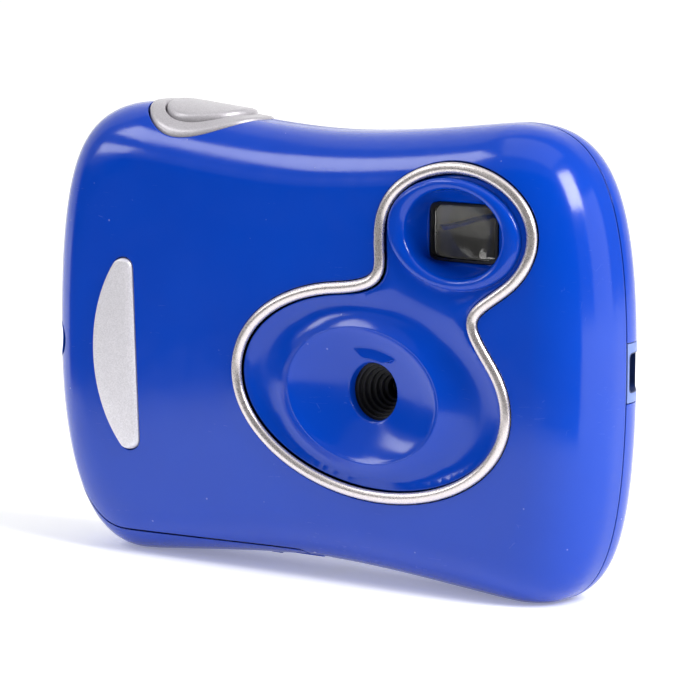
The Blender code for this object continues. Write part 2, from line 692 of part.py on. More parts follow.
def camera_module():
    profile = [(5.9, BAFFLE_FRONT), (3.4, BAFFLE_BACK)]
    depth = (BAFFLE_FRONT - BAFFLE_BACK) / BAFFLE_STEPS
    for k in range(BAFFLE_STEPS):
        radius = 1.7 + k * 0.5
        profile += [(radius, BAFFLE_BACK + k * depth), (radius, BAFFLE_BACK + (k + 1) * depth)]
    turned("lens_baffle", profile, (LENS_X, 0, LENS_Z), "front", BLACK, 32)
    barrel = [(BARREL_RADIUS, 3.0), (BARREL_RADIUS, -2.0), (BARREL_BORE, -2.0), (BARREL_BORE, 3.0)]
    turned("lens_barrel", barrel, (LENS_X, 0, LENS_Z), "front", BLACK)
    glass = [(0, 2.6), (1.2, 2.45), (2.35, 1.9), (2.35, 1.3), (1.2, 0.8), (0, 0.65)]
    turned("front_lens", glass, (LENS_X, 0, LENS_Z), "front", CLEAR)
    low, high = (LENS_X - 7, 1.6, LENS_Z - 7), (LENS_X + 7, BOARD_FRONT_Y - GAP, LENS_Z + 7)
    holder = box("lens_holder", low, high, BLACK)
    change(holder, cylinder("holder_neck", (LENS_X, 1.8, LENS_Z), (LENS_X, -1.4, LENS_Z), 5.2), "UNION")
    change(holder, cylinder("holder_bore", (LENS_X, 2.9, LENS_Z), (LENS_X, -4, LENS_Z), BARREL_RADIUS + GAP))
    low, high = (LENS_X - 4.6, 2.7, LENS_Z - 4.6), (LENS_X + 4.6, 8, LENS_Z + 4.6)
    change(holder, box("holder_room", low, high))
    box("ir_filter", (LENS_X - 4.2, 3.0, LENS_Z - 4.2), (LENS_X + 4.2, 3.5, LENS_Z + 4.2), CLEAR)
    box("image_sensor", (LENS_X - 4.0, 4.1, LENS_Z - 4.0), (LENS_X + 4.0, 5.1, LENS_Z + 4.0), BLACK)


def viewfinder():
    low = [side / 2 - GAP for side in WINDOW_SIZE]
    window = rounded_rectangle((WINDOW_X, WINDOW_Z), [2 * side for side in low], 1.2)
    prism("viewfinder_window", window, "Y", -CUP_FLOOR + 0.1, -CUP_FLOOR + 1.3, CLEAR)
    outer = rounded_rectangle((WINDOW_X, WINDOW_Z), [side + 2.4 for side in WINDOW_SIZE], 1.8)
    tube = prism("viewfinder_tube", outer, "Y", -6.5, 7.6, BLACK)
    bore = rounded_rectangle((WINDOW_X, WINDOW_Z), WINDOW_SIZE, 1.4)
    change(tube, prism("tube_bore", bore, "Y", -9, 9))
    lens = rounded_rectangle((WINDOW_X, WINDOW_Z), EYEPIECE_SIZE, 1.0)
    prism("viewfinder_eyepiece", lens, "Y", 7.9, 10.2, CLEAR)


# ---- shutter release -----------------------------------------------------------------------------


def shutter():
    plate = thicken(whole_body("shutter_bezel", finish=SILVER), BEZEL_THICKNESS, BEZEL_PROUD)
    form = prism("bezel_form", egg(BEZEL), "Z", BEZEL_LOW, 45)
    change(plate, form, "INTERSECT")
    change(plate, prism("button_hole", egg(BUTTON, GAP), "Z", 20, 45))

    cx, cy = BUTTON["centre"]
    rings = []
    for scale in (1.0, 0.94, 0.6):
        flat = egg({**BUTTON, **{key: BUTTON[key] * scale for key in ("left", "right", "half")}})
        drop = 0.35 if scale == 1.0 else 0.0
        rings.append([(x, y, button_height(x, y) - drop) for x, y in flat])
    skirt = {**BUTTON, "half": SKIRT_HALF}
    flange = {**skirt, "left": BUTTON["left"] + FLANGE_REACH, "right": BUTTON["right"] + FLANGE_REACH}
    lower = [(flange, FLANGE_BOTTOM), (flange, FLANGE_TOP), (skirt, FLANGE_TOP), (skirt, BUTTON_BOTTOM),
             (BUTTON, BUTTON_BOTTOM)]
    lower = [[(x, y, level) for x, y in egg(shape)] for shape, level in lower]
    ends = (cx, cy, FLANGE_BOTTOM), (cx, cy, button_height(cx, cy))
    cap = loft("shutter_button", lower + rings, SILVER, *ends)
    change(cap, prism("button_hollow", egg(skirt, -SKIRT_WALL), "Z", 25, BUTTON_BOTTOM))
    stem = cylinder("button_stem", (cx, cy, 32.4), (cx, cy, BUTTON_BOTTOM + 1), 1.5, segments=16)
    change(cap, stem, "UNION")
    set_pivot(cap, (cx, cy, BUTTON_BOTTOM))
    low, high = SHUTTER_BOARD_TOP + 0.6, BUTTON_BOTTOM - 0.6
    coil("shutter_spring", (cx, cy), SHUTTER_SPRING_RADIUS, 0.25, 4, low, high, STEEL)
    low = (cx - 9.5, cy - 6.6, SHUTTER_BOARD_TOP - 1.2)
    box("shutter_board", low, (cx + 9.5, cy + 6.6, SHUTTER_BOARD_TOP), GREEN)
    base = SHUTTER_BOARD_TOP + GAP
    switch = box("shutter_switch", (cx - 2.2, cy - 2.2, base), (cx + 2.2, cy + 2.2, base + 1.6), BLACK)
    plunger = cylinder("switch_plunger", (cx, cy, base + 1), (cx, cy, base + 2.1), 1.3, segments=16)
    change(switch, plunger, "UNION")


def button_height(x, y):
    """The cap's top: domed front to back and sloping down to the right."""
    cx, cy = BUTTON["centre"]
    fall = BUTTON_FALL * ((y - cy) / BUTTON["half"]) ** 2
    return BUTTON_TOP - fall - BUTTON_TILT * max(x - cx + 5.0, 0.0)


# ---- power ---------------------------------------------------------------------------------------


def batteries():
    low = (TRAY["left"], -TRAY["half_depth"], TRAY["bottom"])
    high = (TRAY["right"], TRAY["half_depth"], TRAY["top"])
    tray = box("battery_tray", low, high, BLACK)
    change(tray, CAVITY, "INTERSECT")
    ceiling = TRAY["top"] - 1.2
    for number, x in enumerate(CELL_X, 1):
        change(tray, cylinder(f"cell_bay_{number}", (x, 0, -40), (x, 0, ceiling), CELL_RADIUS + GAP + 0.1))
    slot = (CELL_X[0] - 4.5, -3.6, ceiling - 1.2), (CELL_X[2] + 4.5, 3.6, ceiling - 0.05)
    change(tray, box("contact_slot", *slot))
    for number, x in enumerate(CELL_X, 1):
        profile = [(0, CELL_TOP), (1.9, CELL_TOP), (1.9, CELL_TOP - 1.0), (CELL_RADIUS, CELL_TOP - 1.2),
                   (CELL_RADIUS, CELL_BOTTOM), (0, CELL_BOTTOM)]
        if number == 2:
            profile = [(radius, CELL_TOP + CELL_BOTTOM - height) for radius, height in reversed(profile)]
        turned(f"battery_{number}", profile, (x, 0, 0), "up", CELL_JACKET, 20)

    top = ceiling - 0.35
    contact("contact_positive", CELL_X[0], CELL_X[0], top, top - CONTACT, CELL_TOP + GAP)
    contact("contact_bridge_top", CELL_X[2], CELL_X[1], top, top - CONTACT, CELL_TOP + GAP)
    floor = DOOR_PEDESTAL_Z + GAP
    contact("door_contact_bridge", CELL_X[1], CELL_X[0], floor, floor + CONTACT, CELL_BOTTOM - GAP)
    box("door_contact_end", (CELL_X[2] - 4, -2.6, floor), (CELL_X[2] + 4, 2.6, floor + CONTACT), BRASS)
    for number, x in ((1, CELL_X[0]), (3, CELL_X[2])):
        bottom, high = floor + CONTACT + 0.55, CELL_BOTTOM - 0.55
        coil(f"battery_spring_{number}", (x, 0), 3.2, 0.25, 2.5, bottom, high, STEEL, 2.2)
    low, high = CELL_TOP + 0.55, top - CONTACT - 0.55
    coil("battery_spring_2", (CELL_X[1], 0), 2.2, 0.25, 1.5, low, high, STEEL, 3.2)


def contact(name, bump_x, other_x, outer, inner, tip):
    """A flat contact under one cell or two, with a bump that meets the cell's nub."""
    low_x, high_x = sorted((bump_x, other_x))
    low_z, high_z = sorted((outer, inner))
    plate = box(name, (low_x - 4, -2.6, low_z), (high_x + 4, 2.6, high_z), BRASS)
    ends = (bump_x, 0, (outer + inner) / 2), (bump_x, 0, tip)
    bump = cylinder(f"{name}_bump", *ends, 2.2, segments=16, end_radius=1.2)
    change(plate, bump, "UNION")


# ---- boards, port and back -----------------------------------------------------------------------


def boards():
    low = (BOARD["left"], BOARD_FRONT_Y, BOARD["bottom"])
    high = (BOARD["right"], BOARD_BACK_Y, BOARD["top"])
    board = box("main_board", low, high, GREEN)
    change(board, box("board_notch", (37.4, 0, -1.7), (50, 9, 3.1)))
    for number, (x, z) in enumerate(BOARD_SCREWS, 1):
        change(board, cylinder(f"board_hole_{number}", (x, 0, z), (x, 9, z), 1.3, segments=12))
        profile = [(0, 2.0), (2.0, 2.0), (2.0, 1.0), (0.95, 1.0), (0.95, -4.0), (0, -4.0)]
        turned(f"board_screw_{number}", profile, (x, BOARD_BACK_Y - 0.7, z), "back", STEEL, 16)
    front = BOARD_FRONT_Y - GAP
    box("main_chip", (25.0, front - 1.2, -10.0), (37.0, front, 2.0), BLACK)
    box("memory_chip", (24.0, front - 1.1, -21.8), (33.0, front, -12.8), BLACK)
    box("crystal", (12.0, front - 3.4, -21.5), (21.0, front, -17.5), STEEL)
    cylinder("capacitor", (6.0, front, -18.5), (6.0, front - 6.5, -18.5), 2.6, CELL_JACKET)
    cylinder("buzzer", (0.6, front, 2.0), (0.6, front - 3.0, 2.0), 4.6, BLACK)


def port():
    low = (PORT_DEPTH_X, *PORT_LOW)
    bezel = box("usb_bezel", low, (58, *PORT_HIGH), PORT_GREY)
    change(bezel, BODY, "INTERSECT")
    change(bezel, box("port_opening", (40, *PORT_OPENING_LOW), (60, *PORT_OPENING_HIGH)))
    connector = box("usb_connector", (38.0, 0.75, -1.3), (CONNECTOR_FRONT_X, 7.65, 2.7), STEEL)
    change(connector, box("connector_mouth", (40.5, 1.2, -0.85), (60, 7.2, 2.25)))
    tongue = box("connector_tongue", (39.5, 2.2, 0.2), (CONNECTOR_FRONT_X - 1.0, 6.2, 1.2))
    change(connector, tongue, "UNION")


def back():
    box(
        "lcd_module", (LCD_X - LCD_SIZE[0] / 2, BOARD_BACK_Y + GAP, LCD_Z - LCD_SIZE[1] / 2),
        (LCD_X + LCD_SIZE[0] / 2, 8.4, LCD_Z + LCD_SIZE[1] / 2), BLACK,
    )
    prism("lcd_window", rounded_rectangle((LCD_X, LCD_Z), LCD_WINDOW, 1.0), "Y", 9.4, 10.9, CLEAR)
    for name, (x, z) in BACK_BUTTONS.items():
        base = BOARD_BACK_Y + GAP
        box(f"{name}_switch", (x - 2.0, base, z - 2.0), (x + 2.0, base + 0.8, z + 2.0), BLACK)
        radius, flange = BACK_BUTTON_RADIUS, BACK_FLANGE_RADIUS
        profile = [(0, 3.3), (radius - 0.5, 3.2), (radius, 2.7), (radius, 0.35), (flange, 0.35),
                   (flange, 0.0), (0, 0.0)]
        turned(f"{name}_button", profile, (x, BACK_BUTTON_BASE, z), "back", SILVER)
    for number, (x, z) in enumerate(CASE_SCREWS, 1):
        profile = [(0, 1.6), (2.0, 1.3), (2.0, 0.0), (0.85, 0.0), (0.85, -8.5), (0, -8.9)]
        turned(f"case_screw_{number}", profile, (x, WELL_FLOOR_Y + GAP, z), "back", STEEL, 16)


front_cover()
rear_cover()
battery_door()
strap_guide()
lens_panel()
trim_ring()
grip_accent()
camera_module()
viewfinder()
shutter()
batteries()
boards()
port()
back()
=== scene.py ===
"""Looks for the compact camera: smooth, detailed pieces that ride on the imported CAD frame.

Lengths are millimetres in the camera's own axes, as in the CAD: X to the viewer's right, Y from the
parting plane to the back, Z up, with the origin at the middle of the outline. world() turns them into
the frame's metres.
"""

import json
import math

import bmesh
import bpy
from mathutils import Matrix, Vector
from mathutils.bvhtree import BVHTree
from mathutils.geometry import barycentric_transform, delaunay_2d_cdt

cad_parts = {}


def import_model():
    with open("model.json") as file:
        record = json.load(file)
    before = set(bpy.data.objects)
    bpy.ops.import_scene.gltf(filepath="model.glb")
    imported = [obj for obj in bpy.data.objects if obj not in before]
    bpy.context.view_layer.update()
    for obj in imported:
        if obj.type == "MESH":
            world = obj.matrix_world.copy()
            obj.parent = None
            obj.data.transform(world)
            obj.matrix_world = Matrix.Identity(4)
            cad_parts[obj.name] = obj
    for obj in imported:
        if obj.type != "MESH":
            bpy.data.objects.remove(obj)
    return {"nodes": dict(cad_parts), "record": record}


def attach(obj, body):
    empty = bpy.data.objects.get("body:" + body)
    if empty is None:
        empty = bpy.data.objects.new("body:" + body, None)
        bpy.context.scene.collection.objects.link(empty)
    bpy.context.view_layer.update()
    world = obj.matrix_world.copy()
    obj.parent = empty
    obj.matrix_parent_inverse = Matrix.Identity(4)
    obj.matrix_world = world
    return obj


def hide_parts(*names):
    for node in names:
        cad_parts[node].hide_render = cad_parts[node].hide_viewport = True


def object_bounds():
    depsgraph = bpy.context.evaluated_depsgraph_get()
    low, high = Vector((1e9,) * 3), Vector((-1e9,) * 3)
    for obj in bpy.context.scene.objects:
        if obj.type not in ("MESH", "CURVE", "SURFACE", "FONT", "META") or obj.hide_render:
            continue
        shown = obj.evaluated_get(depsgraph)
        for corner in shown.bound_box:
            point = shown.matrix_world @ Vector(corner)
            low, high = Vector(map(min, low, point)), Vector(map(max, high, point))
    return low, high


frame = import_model()
CAD_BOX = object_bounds()

MM = 0.001
FRONT_REACH, BASE_Z = 13.844, -35.9
ORIGIN_Y = CAD_BOX[0].y + FRONT_REACH * MM
ORIGIN_Z = CAD_BOX[0].z - BASE_Z * MM
GAP = 0.3

# Case outline and section, as in the CAD but with finer steps
HALF_WIDTH = 54.2
TOP_LOBE_Z, BOTTOM_LOBE_Z = 38.4, -36.25
TOP_WAIST_Z, BOTTOM_WAIST_Z = 35.55, -33.55
LOBES = {
    ("right", "top"): (35.5, 28.6, 13.3),
    ("left", "top"): (-35.2, 30.4, 14.0),
    ("left", "bottom"): (-37.4, 26.1, 8.9),
    ("right", "bottom"): (38.8, 28.2, 11.4),
}
WAIST_HANDLES = {"top": (3.9, 14.5), "bottom": (4.9, 13.8)}
CORNER_STEPS, WAIST_STEPS = 34, 22
WALL, RIM = 1.8, 0.15
FRONT = {"sign": -1, "straight": 2.2, "inset": 10.0, "depth": 10.4, "dome": 0.6}
REAR = {"sign": 1, "straight": 0.4, "inset": 11.0, "depth": 9.6, "dome": 1.9}
FILLET_STEPS, FACE_STEPS = 22, 14

# Lens panel
LENS_LOOP = {"centre": (14.5, -4.4), "semi": (26.0, 16.2), "tilt": -5.5}
FINDER_LOOP = {"centre": (30.5, 21.4), "semi": (14.1, 10.4), "tilt": 0.0}
LOOP_BLEND, LOOP_START, LOOP_POINTS = 11.0, (24.0, 8.0), 288
TRIM_RADIUS, TRIM_HEIGHT, TRIM_GAP = 0.9, 0.74, 1.05
CRATER = {"centre": (13.6, -4.9), "semi": (14.9, 10.9), "tilt": -5.0}
CRATER_TOP, HOLE_EDGE, HOLE_BACK = 13.25, 10.6, 9.0
LENS_X, LENS_Z, LENS_HOLE = 13.8, -4.6, 4.65
MOAT, PANEL_WALL = 1.15, 1.2
FINDER_X, FINDER_Z = 30.2, 21.6
LIP_OUTER, LIP_INNER, LIP_FOOT, LIP_RISE = (12.5, 8.7), (9.1, 6.9), 12.1, 1.35
CUP_FLOOR = 8.2
WINDOW_X, WINDOW_Z, WINDOW_HALF = 29.2, 21.4, (6.5, 4.65)
RING_POINTS = 144

# Smaller pieces
ACCENT_HEAD_LEFT, ACCENT_HEAD_RIGHT = (-37.2, 12.4), (-33.5, 11.6)
ACCENT_FOOT_LEFT, ACCENT_FOOT_RIGHT = (-35.6, -17.6), (-32.1, -16.3)
BEZEL = {"centre": (-27.0, -0.95), "left": 9.6, "right": 11.8, "half": 9.4}
BUTTON = {"centre": (-26.8, -0.6), "left": 6.9, "right": 8.0, "half": 7.4}
BEZEL_LOW, BEZEL_PROUD = 32.4, 0.35
BUTTON_TOP, BUTTON_FALL, BUTTON_TILT, BUTTON_BOTTOM = 38.95, 1.5, 0.09, 34.6
FLANGE_BOTTOM, FLANGE_TOP, FLANGE_REACH = 31.0, 32.0, 0.6
SKIRT_HALF, SKIRT_WALL, SKIRT_ROOF = 5.9, 1.3, 33.6
STEM_RADIUS, STEM_LOW, STEM_HIGH = 1.5, 32.4, 33.8
DOOR_LINE_Z, DOOR_RIGHT = -32.1, -1.9
DOOR_LEFT_CURVE = ((-36.0, -32.1), (-45.5, -32.1), (-44.5, -24.5), (-56.0, -21.5))
PEDESTAL_LOW, PEDESTAL_HIGH = (-40.5, -3.4, -34.0), (-9.5, 3.4, -31.9)
HINGE_X, HINGE_Z, HINGE_RADIUS, HINGE_FRONT, HINGE_BACK = 0.35, -31.6, 1.55, -5.6, 1.8
STRAP_Z, STRAP_RADIUS, STRAP_WALL = -1.5, 2.85, 0.8
STRAP_PATH = ((-54.8, -14.2), (-49.6, -7.8), (-47.6, -2.6), (-47.6, 1.6), (-49.9, 6.0), (-55.6, 11.4))
PORT_X, PORT_LOW, PORT_HIGH = 46.6, (0.3, -3.9), (8.6, 5.3)
PORT_BAR = ((PORT_X, 5.6), (52.4, 5.6), (50.2, PORT_HIGH[0]), (PORT_X, PORT_HIGH[0]))
# Port opening; the last pair sets the insets of a thin dark shell inside it that paints the shade there
PORT_MIDDLE, PORT_HALF, PORT_SHADE_LINING = (4.225, 0.7), (3.475, 3.15), (0.02, 0.16)
LCD_X, LCD_Z, LCD_HALF = 12.0, -4.0, (9.3, 5.8)
EYEPIECE_HALF, PANE_HALF = (5.5, 4.0), (6.0, 4.15)
TUBE_OUTER, TUBE_BORE, TUBE_FRONT, TUBE_BACK = (7.7, 5.85), (6.3, 4.5), -6.5, 7.6
FRAME_OUTER, FRAME_INNER = (6.42, 4.57), (6.05, 4.2)
BACK_BUTTONS = {"power": (32.0, 3.0), "mode": (32.0, -11.0)}
BACK_BUTTON_RADIUS, BACK_BUTTON_BASE = 3.1, 8.0
CASE_SCREWS = ((-47.0, -13.5), (-44.6, 22.5), (44.5, 28.9), (43.6, -27.0))
WELL_RADIUS, WELL_FLOOR_Y = 2.4, 5.6
CUP_WALL, CUP_LIMIT = 1.0, 0.4


def world(point):
    return Vector((point[0] * MM, point[1] * MM + ORIGIN_Y, point[2] * MM + ORIGIN_Z))


# ---- outlines ------------------------------------------------------------------------------------


def between(near, far, share):
    return tuple(a + (b - a) * share for a, b in zip(near, far))


def turns(count):
    """Even angles round a circle."""
    return [2 * math.pi * i / count for i in range(count)]


def bezier(p0, p1, p2, p3, steps):
    points = []
    for i in range(steps + 1):
        t = i / steps
        a, b, c, d = (1 - t) ** 3, 3 * t * (1 - t) ** 2, 3 * t * t * (1 - t), t**3
        points.append(tuple(a * p0[k] + b * p1[k] + c * p2[k] + d * p3[k] for k in (0, 1)))
    return points


def quadrant(side, end):
    """A quarter of the case outline, from the middle of the side to the middle of the waist."""
    crest_x, side_handle, crest_handle = LOBES[side, end]
    out = 1 if side == "right" else -1
    up = 1 if end == "top" else -1
    crest_z = TOP_LOBE_Z if end == "top" else BOTTOM_LOBE_Z
    waist_z = TOP_WAIST_Z if end == "top" else BOTTOM_WAIST_Z
    inner, outer = WAIST_HANDLES[end]
    corner = bezier(
        (out * HALF_WIDTH, 0), (out * HALF_WIDTH, up * side_handle),
        (crest_x + out * crest_handle, crest_z), (crest_x, crest_z), CORNER_STEPS,
    )
    waist = bezier(
        (crest_x, crest_z), (crest_x - out * inner, crest_z), (out * outer, waist_z), (0, waist_z),
        WAIST_STEPS,
    )
    return corner[:-1] + waist


def offset_outline(points, distance):
    """A closed outline, listed anticlockwise, moved outwards by a distance."""
    moved = []
    for i, (x, z) in enumerate(points):
        before, after = points[i - 1], points[(i + 1) % len(points)]
        run, rise = after[0] - before[0], after[1] - before[1]
        length = math.hypot(run, rise)
        moved.append((x + distance * rise / length, z - distance * run / length))
    return moved


CASE_OUTLINE = (
    quadrant("right", "top")[:-1]
    + quadrant("left", "top")[:0:-1]
    + quadrant("left", "bottom")[:-1]
    + quadrant("right", "bottom")[:0:-1]
)


def ellipse_distance(loop, x, z):
    """About how far a point lies outside a tilted ellipse."""
    tilt = math.radians(loop["tilt"])
    x, z = x - loop["centre"][0], z - loop["centre"][1]
    u = x * math.cos(tilt) + z * math.sin(tilt)
    v = z * math.cos(tilt) - x * math.sin(tilt)
    a, b = loop["semi"]
    level = math.hypot(u / a, v / b)
    return level * (level - 1) / max(math.hypot(u / a**2, v / b**2), 1e-9)


def loop_distance(x, z):
    """The same for the panel's two ellipses, with their necks filled smoothly."""
    first, second = ellipse_distance(LENS_LOOP, x, z), ellipse_distance(FINDER_LOOP, x, z)
    share = min(max(0.5 + 0.5 * (second - first) / LOOP_BLEND, 0), 1)
    return second * (1 - share) + first * share - LOOP_BLEND * share * (1 - share)


def loop_outline(offset=0.0):
    """The panel's loop, found along rays from a point inside it, then moved outwards."""
    points = []
    for angle in turns(4 * LOOP_POINTS):
        near, far = 1.0, 60.0
        for _ in range(34):
            reach = (near + far) / 2
            point = (LOOP_START[0] + reach * math.cos(angle), LOOP_START[1] + reach * math.sin(angle))
            near, far = (reach, far) if loop_distance(*point) < 0 else (near, reach)
        points.append((LOOP_START[0] + near * math.cos(angle), LOOP_START[1] + near * math.sin(angle)))
    points = evenly(points, LOOP_POINTS)
    return offset_outline(points, offset) if offset else points


def evenly(points, count):
    """The same closed outline with its points at even distances."""
    lengths = [math.dist(point, points[(i + 1) % len(points)]) for i, point in enumerate(points)]
    step, spaced, at, walked = sum(lengths) / count, [], 0, 0.0
    for i in range(count):
        while walked + lengths[at] < i * step - 1e-9:
            walked += lengths[at]
            at += 1
        share = (i * step - walked) / lengths[at]
        spaced.append(between(points[at], points[(at + 1) % len(points)], share))
    return spaced


def ellipse(centre, semi, tilt):
    c, s = math.cos(math.radians(tilt)), math.sin(math.radians(tilt))
    points = []
    for angle in turns(RING_POINTS):
        u, v = semi[0] * math.cos(angle), semi[1] * math.sin(angle)
        points.append((centre[0] + u * c - v * s, centre[1] + u * s + v * c))
    return points


def soft_rectangle(centre, half, power=7.0):
    """A rounded rectangle whose points lie at even angles."""
    points = []
    for angle in turns(RING_POINTS):
        c, s = math.cos(angle), math.sin(angle)
        reach = (abs(c / half[0]) ** power + abs(s / half[1]) ** power) ** (-1 / power)
        points.append((centre[0] + reach * c, centre[1] + reach * s))
    return points


def egg(shape, grow=0.0, count=96):
    """The shutter's plan outline: round on the left, drawn out on the right."""
    points = []
    for angle in turns(count):
        reach = shape["right"] if math.cos(angle) > 0 else shape["left"]
        points.append((
            shape["centre"][0] + (reach + grow) * math.cos(angle),
            shape["centre"][1] + (shape["half"] + grow) * math.sin(angle),
        ))
    return points


def accent_outline(grow=0.0, right_grow=0.0):
    """The grip accent: an arc on the left and a nearly straight edge on the right, with round ends."""
    points = bezier(ACCENT_HEAD_LEFT, (-43.4, 3.8), (-43.0, -9.5), ACCENT_FOOT_LEFT, 40)[:-1]
    points += bezier(ACCENT_FOOT_LEFT, (-34.7, -18.6), (-32.05, -18.2), ACCENT_FOOT_RIGHT, 12)[:-1]
    points += [tuple(Vector(ACCENT_FOOT_RIGHT).lerp(ACCENT_HEAD_RIGHT, k / 24)) for k in range(24)]
    points += bezier(ACCENT_HEAD_RIGHT, (-33.55, 13.7), (-36.3, 13.7), ACCENT_HEAD_LEFT, 12)[:-1]
    if not grow and not right_grow:
        return points
    even, wide = offset_outline(points, grow), offset_outline(points, right_grow)
    moved = []
    for point, near, far in zip(points, even, wide):
        share = max((near[0] - point[0]) / grow, 0.0) if right_grow else 0.0
        moved.append(between(near, far, share))
    return moved


# ---- mesh helpers --------------------------------------------------------------------------------


def new_object(name, data):
    made = bpy.data.objects.new(name, data)
    bpy.context.scene.collection.objects.link(made)
    return made


def add_rings(shape, rings, cyclic=False):
    """Adds a skin over rings of equally many points, each given in millimetres."""
    rows = [[shape.verts.new(world(point)) for point in ring] for ring in rings]
    for near, far in list(zip(rows, rows[1:])) + ([(rows[-1], rows[0])] if cyclic else []):
        for i in range(len(near)):
            j = (i + 1) % len(near)
            shape.faces.new((near[i], near[j], far[j], far[i]))
    return rows


def to_object(name, shape):
    bmesh.ops.recalc_face_normals(shape, faces=shape.faces)
    data = bpy.data.meshes.new(name)
    shape.to_mesh(data)
    shape.free()
    return new_object(name, data)


def from_rings(name, rings, first_tip=None, last_tip=None, cyclic=False, caps=False):
    """An object with a skin over rings, whose ends run to a tip or are capped."""
    shape = bmesh.new()
    rows = add_rings(shape, rings, cyclic)
    for row, tip in ((rows[0], first_tip), (rows[-1], last_tip)):
        if tip is not None:
            top = shape.verts.new(world(tip))
            for i in range(len(row)):
                shape.faces.new((row[i], row[(i + 1) % len(row)], top))
        elif caps:
            shape.faces.new(row)
    return to_object(name, shape)


def prism(name, outline, along, low, high):
    """A flat outline pushed along X, Y or Z. Its points hold the two other lengths, in that order."""
    at = "XYZ".index(along)
    rings = [[(*point[:at], level, *point[at:]) for point in outline] for level in (low, high)]
    return from_rings(name, rings, caps=True)


def box(name, low, high):
    outline = [(low[0], low[1]), (high[0], low[1]), (high[0], high[1]), (low[0], high[1])]
    return prism(name, outline, "Z", low[2], high[2])


def turned(name, profile, place, facing, count=72, hollow=False):
    """A profile of (radius, height) points turned round an axis that points to the front or the back."""
    sign = -1 if facing == "front" else 1
    x, y, z = place
    rings = [
        [(x + radius * math.cos(a), y + sign * height, z + radius * math.sin(a)) for a in turns(count)]
        for radius, height in profile
    ]
    if hollow:
        return from_rings(name, rings, cyclic=True)
    return from_rings(name, rings, *[(x, y + sign * profile[end][1], z) for end in (0, -1)])


def rod(name, radius, centre, low, high, count=72):
    """A round rod along Y between two depths."""
    return turned(name, [(radius, low), (radius, high)], (centre[0], 0, centre[1]), "back", count)


def tube_along(name, path, radius, count=48):
    """A solid rod along (x, y) points at the strap's height."""
    path = [Vector((x, y, STRAP_Z)) for x, y in path]
    upright = Vector((0, 0, 1))
    rings = []
    for i, point in enumerate(path):
        along = (path[min(i + 1, len(path) - 1)] - path[max(i - 1, 0)]).normalized()
        side = along.cross(upright)
        rings.append([point + radius * (math.cos(a) * side + math.sin(a) * upright) for a in turns(count)])
    return from_rings(name, rings, path[0], path[-1])


def change(target, tool, operation="DIFFERENCE"):
    """Cuts, joins or intersects target with tool at once, and removes the tool."""
    step = target.modifiers.new(tool.name, "BOOLEAN")
    step.operation, step.object, step.solver = operation, tool, "EXACT"
    settle(target)
    bpy.data.objects.remove(tool, do_unlink=True)


def settle(target):
    """Applies the modifiers."""
    graph = bpy.context.evaluated_depsgraph_get()
    data = bpy.data.meshes.new_from_object(target.evaluated_get(graph), depsgraph=graph)
    target.modifiers.clear()
    target.data = data


def thicken(target, thickness):
    """Gives a skin a wall on its inner side."""
    step = target.modifiers.new("wall", "SOLIDIFY")
    step.thickness, step.offset, step.use_even_offset = thickness * MM, -1, True
    settle(target)


def smooth(target, degrees=35.0):
    target.data.shade_smooth()
    target.data.set_sharp_from_angle(angle=math.radians(degrees))


def keep_flow(target, skin):
    """Gives the faces that lie on a skin the skin's own smooth normals, so cuts leave no ripples."""
    smooth(target)
    data, source = target.data, skin.data
    source.shade_smooth()
    tree = surface_of(skin)
    corner = [Vector(n.vector) for n in data.corner_normals]
    for face in data.polygons:
        _, along, _, distance = tree.find_nearest(face.center)
        if distance > 0.05 * MM or along.dot(face.normal) < 0.9:
            continue
        for loop in face.loop_indices:
            spot = data.vertices[data.loops[loop].vertex_index].co
            where, _, index, _ = tree.find_nearest(spot)
            around = source.polygons[index].vertices
            best = None
            for k in range(1, len(around) - 1):
                three = [source.vertices[around[m]] for m in (0, k, k + 1)]
                value = barycentric_transform(where, *[v.co for v in three], *[v.normal for v in three])
                error = min(value.dot(v.normal) for v in three)
                if best is None or error > best[0]:
                    best = (error, value.normalized())
            if best[0] > 0.8:
                corner[loop] = best[1]
    data.normals_split_custom_set([tuple(n) for n in corner])


def finish_piece(piece, body, slot, material, *nodes):
    """Gives a piece its look, the body it rides on, and the CAD nodes that it replaces."""
    piece.data.materials.clear()
    piece.data.materials.append(material)
    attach(piece, body)
    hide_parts(*nodes)


# ---- case skins ----------------------------------------------------------------------------------


def section(shape, shrink=0.0):
    """The rings of one half of the case, from the parting plane to the face, and the face's middle."""
    sign, straight = shape["sign"], shape["straight"]
    run, depth = shape["inset"] - shrink, shape["depth"] - shrink

    def ring(inset, height, scale=1.0):
        even = offset_outline(CASE_OUTLINE, -inset)
        scale_x, scale_z = 1 - inset / HALF_WIDTH, 1 - inset / TOP_LOBE_Z
        share = inset / shape["inset"]
        points = []
        for (x, z), moved in zip(CASE_OUTLINE, even):
            x, z = between(moved, (x * scale_x, z * scale_z), share)
            points.append((x * scale, sign * height, max(z * scale, BASE_Z + shrink)))
        return points

    rings = [ring(shrink, RIM), ring(shrink, straight)]
    for k in range(1, FILLET_STEPS + 1):
        angle = math.pi / 2 * k / FILLET_STEPS
        rings.append(ring(shrink + run * (1 - math.cos(angle)), straight + depth * math.sin(angle)))
    for k in range(1, FACE_STEPS):
        scale = 1 - k / FACE_STEPS
        rings.append(ring(shape["inset"], straight + depth + shape["dome"] * (1 - scale**2) ** 2, scale))
    return rings, (0, sign * (straight + depth + shape["dome"]), 0)


def half_skin(name, shape):
    rings, tip = section(shape)
    return from_rings(name, rings, last_tip=tip)


def whole_skin(name, shrink=0.0):
    front, front_tip = section(FRONT, shrink)
    rear, rear_tip = section(REAR, shrink)
    return from_rings(name, rear[:0:-1] + front[1:], rear_tip, front_tip)


def surface_of(skin):
    return BVHTree.FromPolygons([v.co for v in skin.data.vertices], [p.vertices for p in skin.data.polygons])


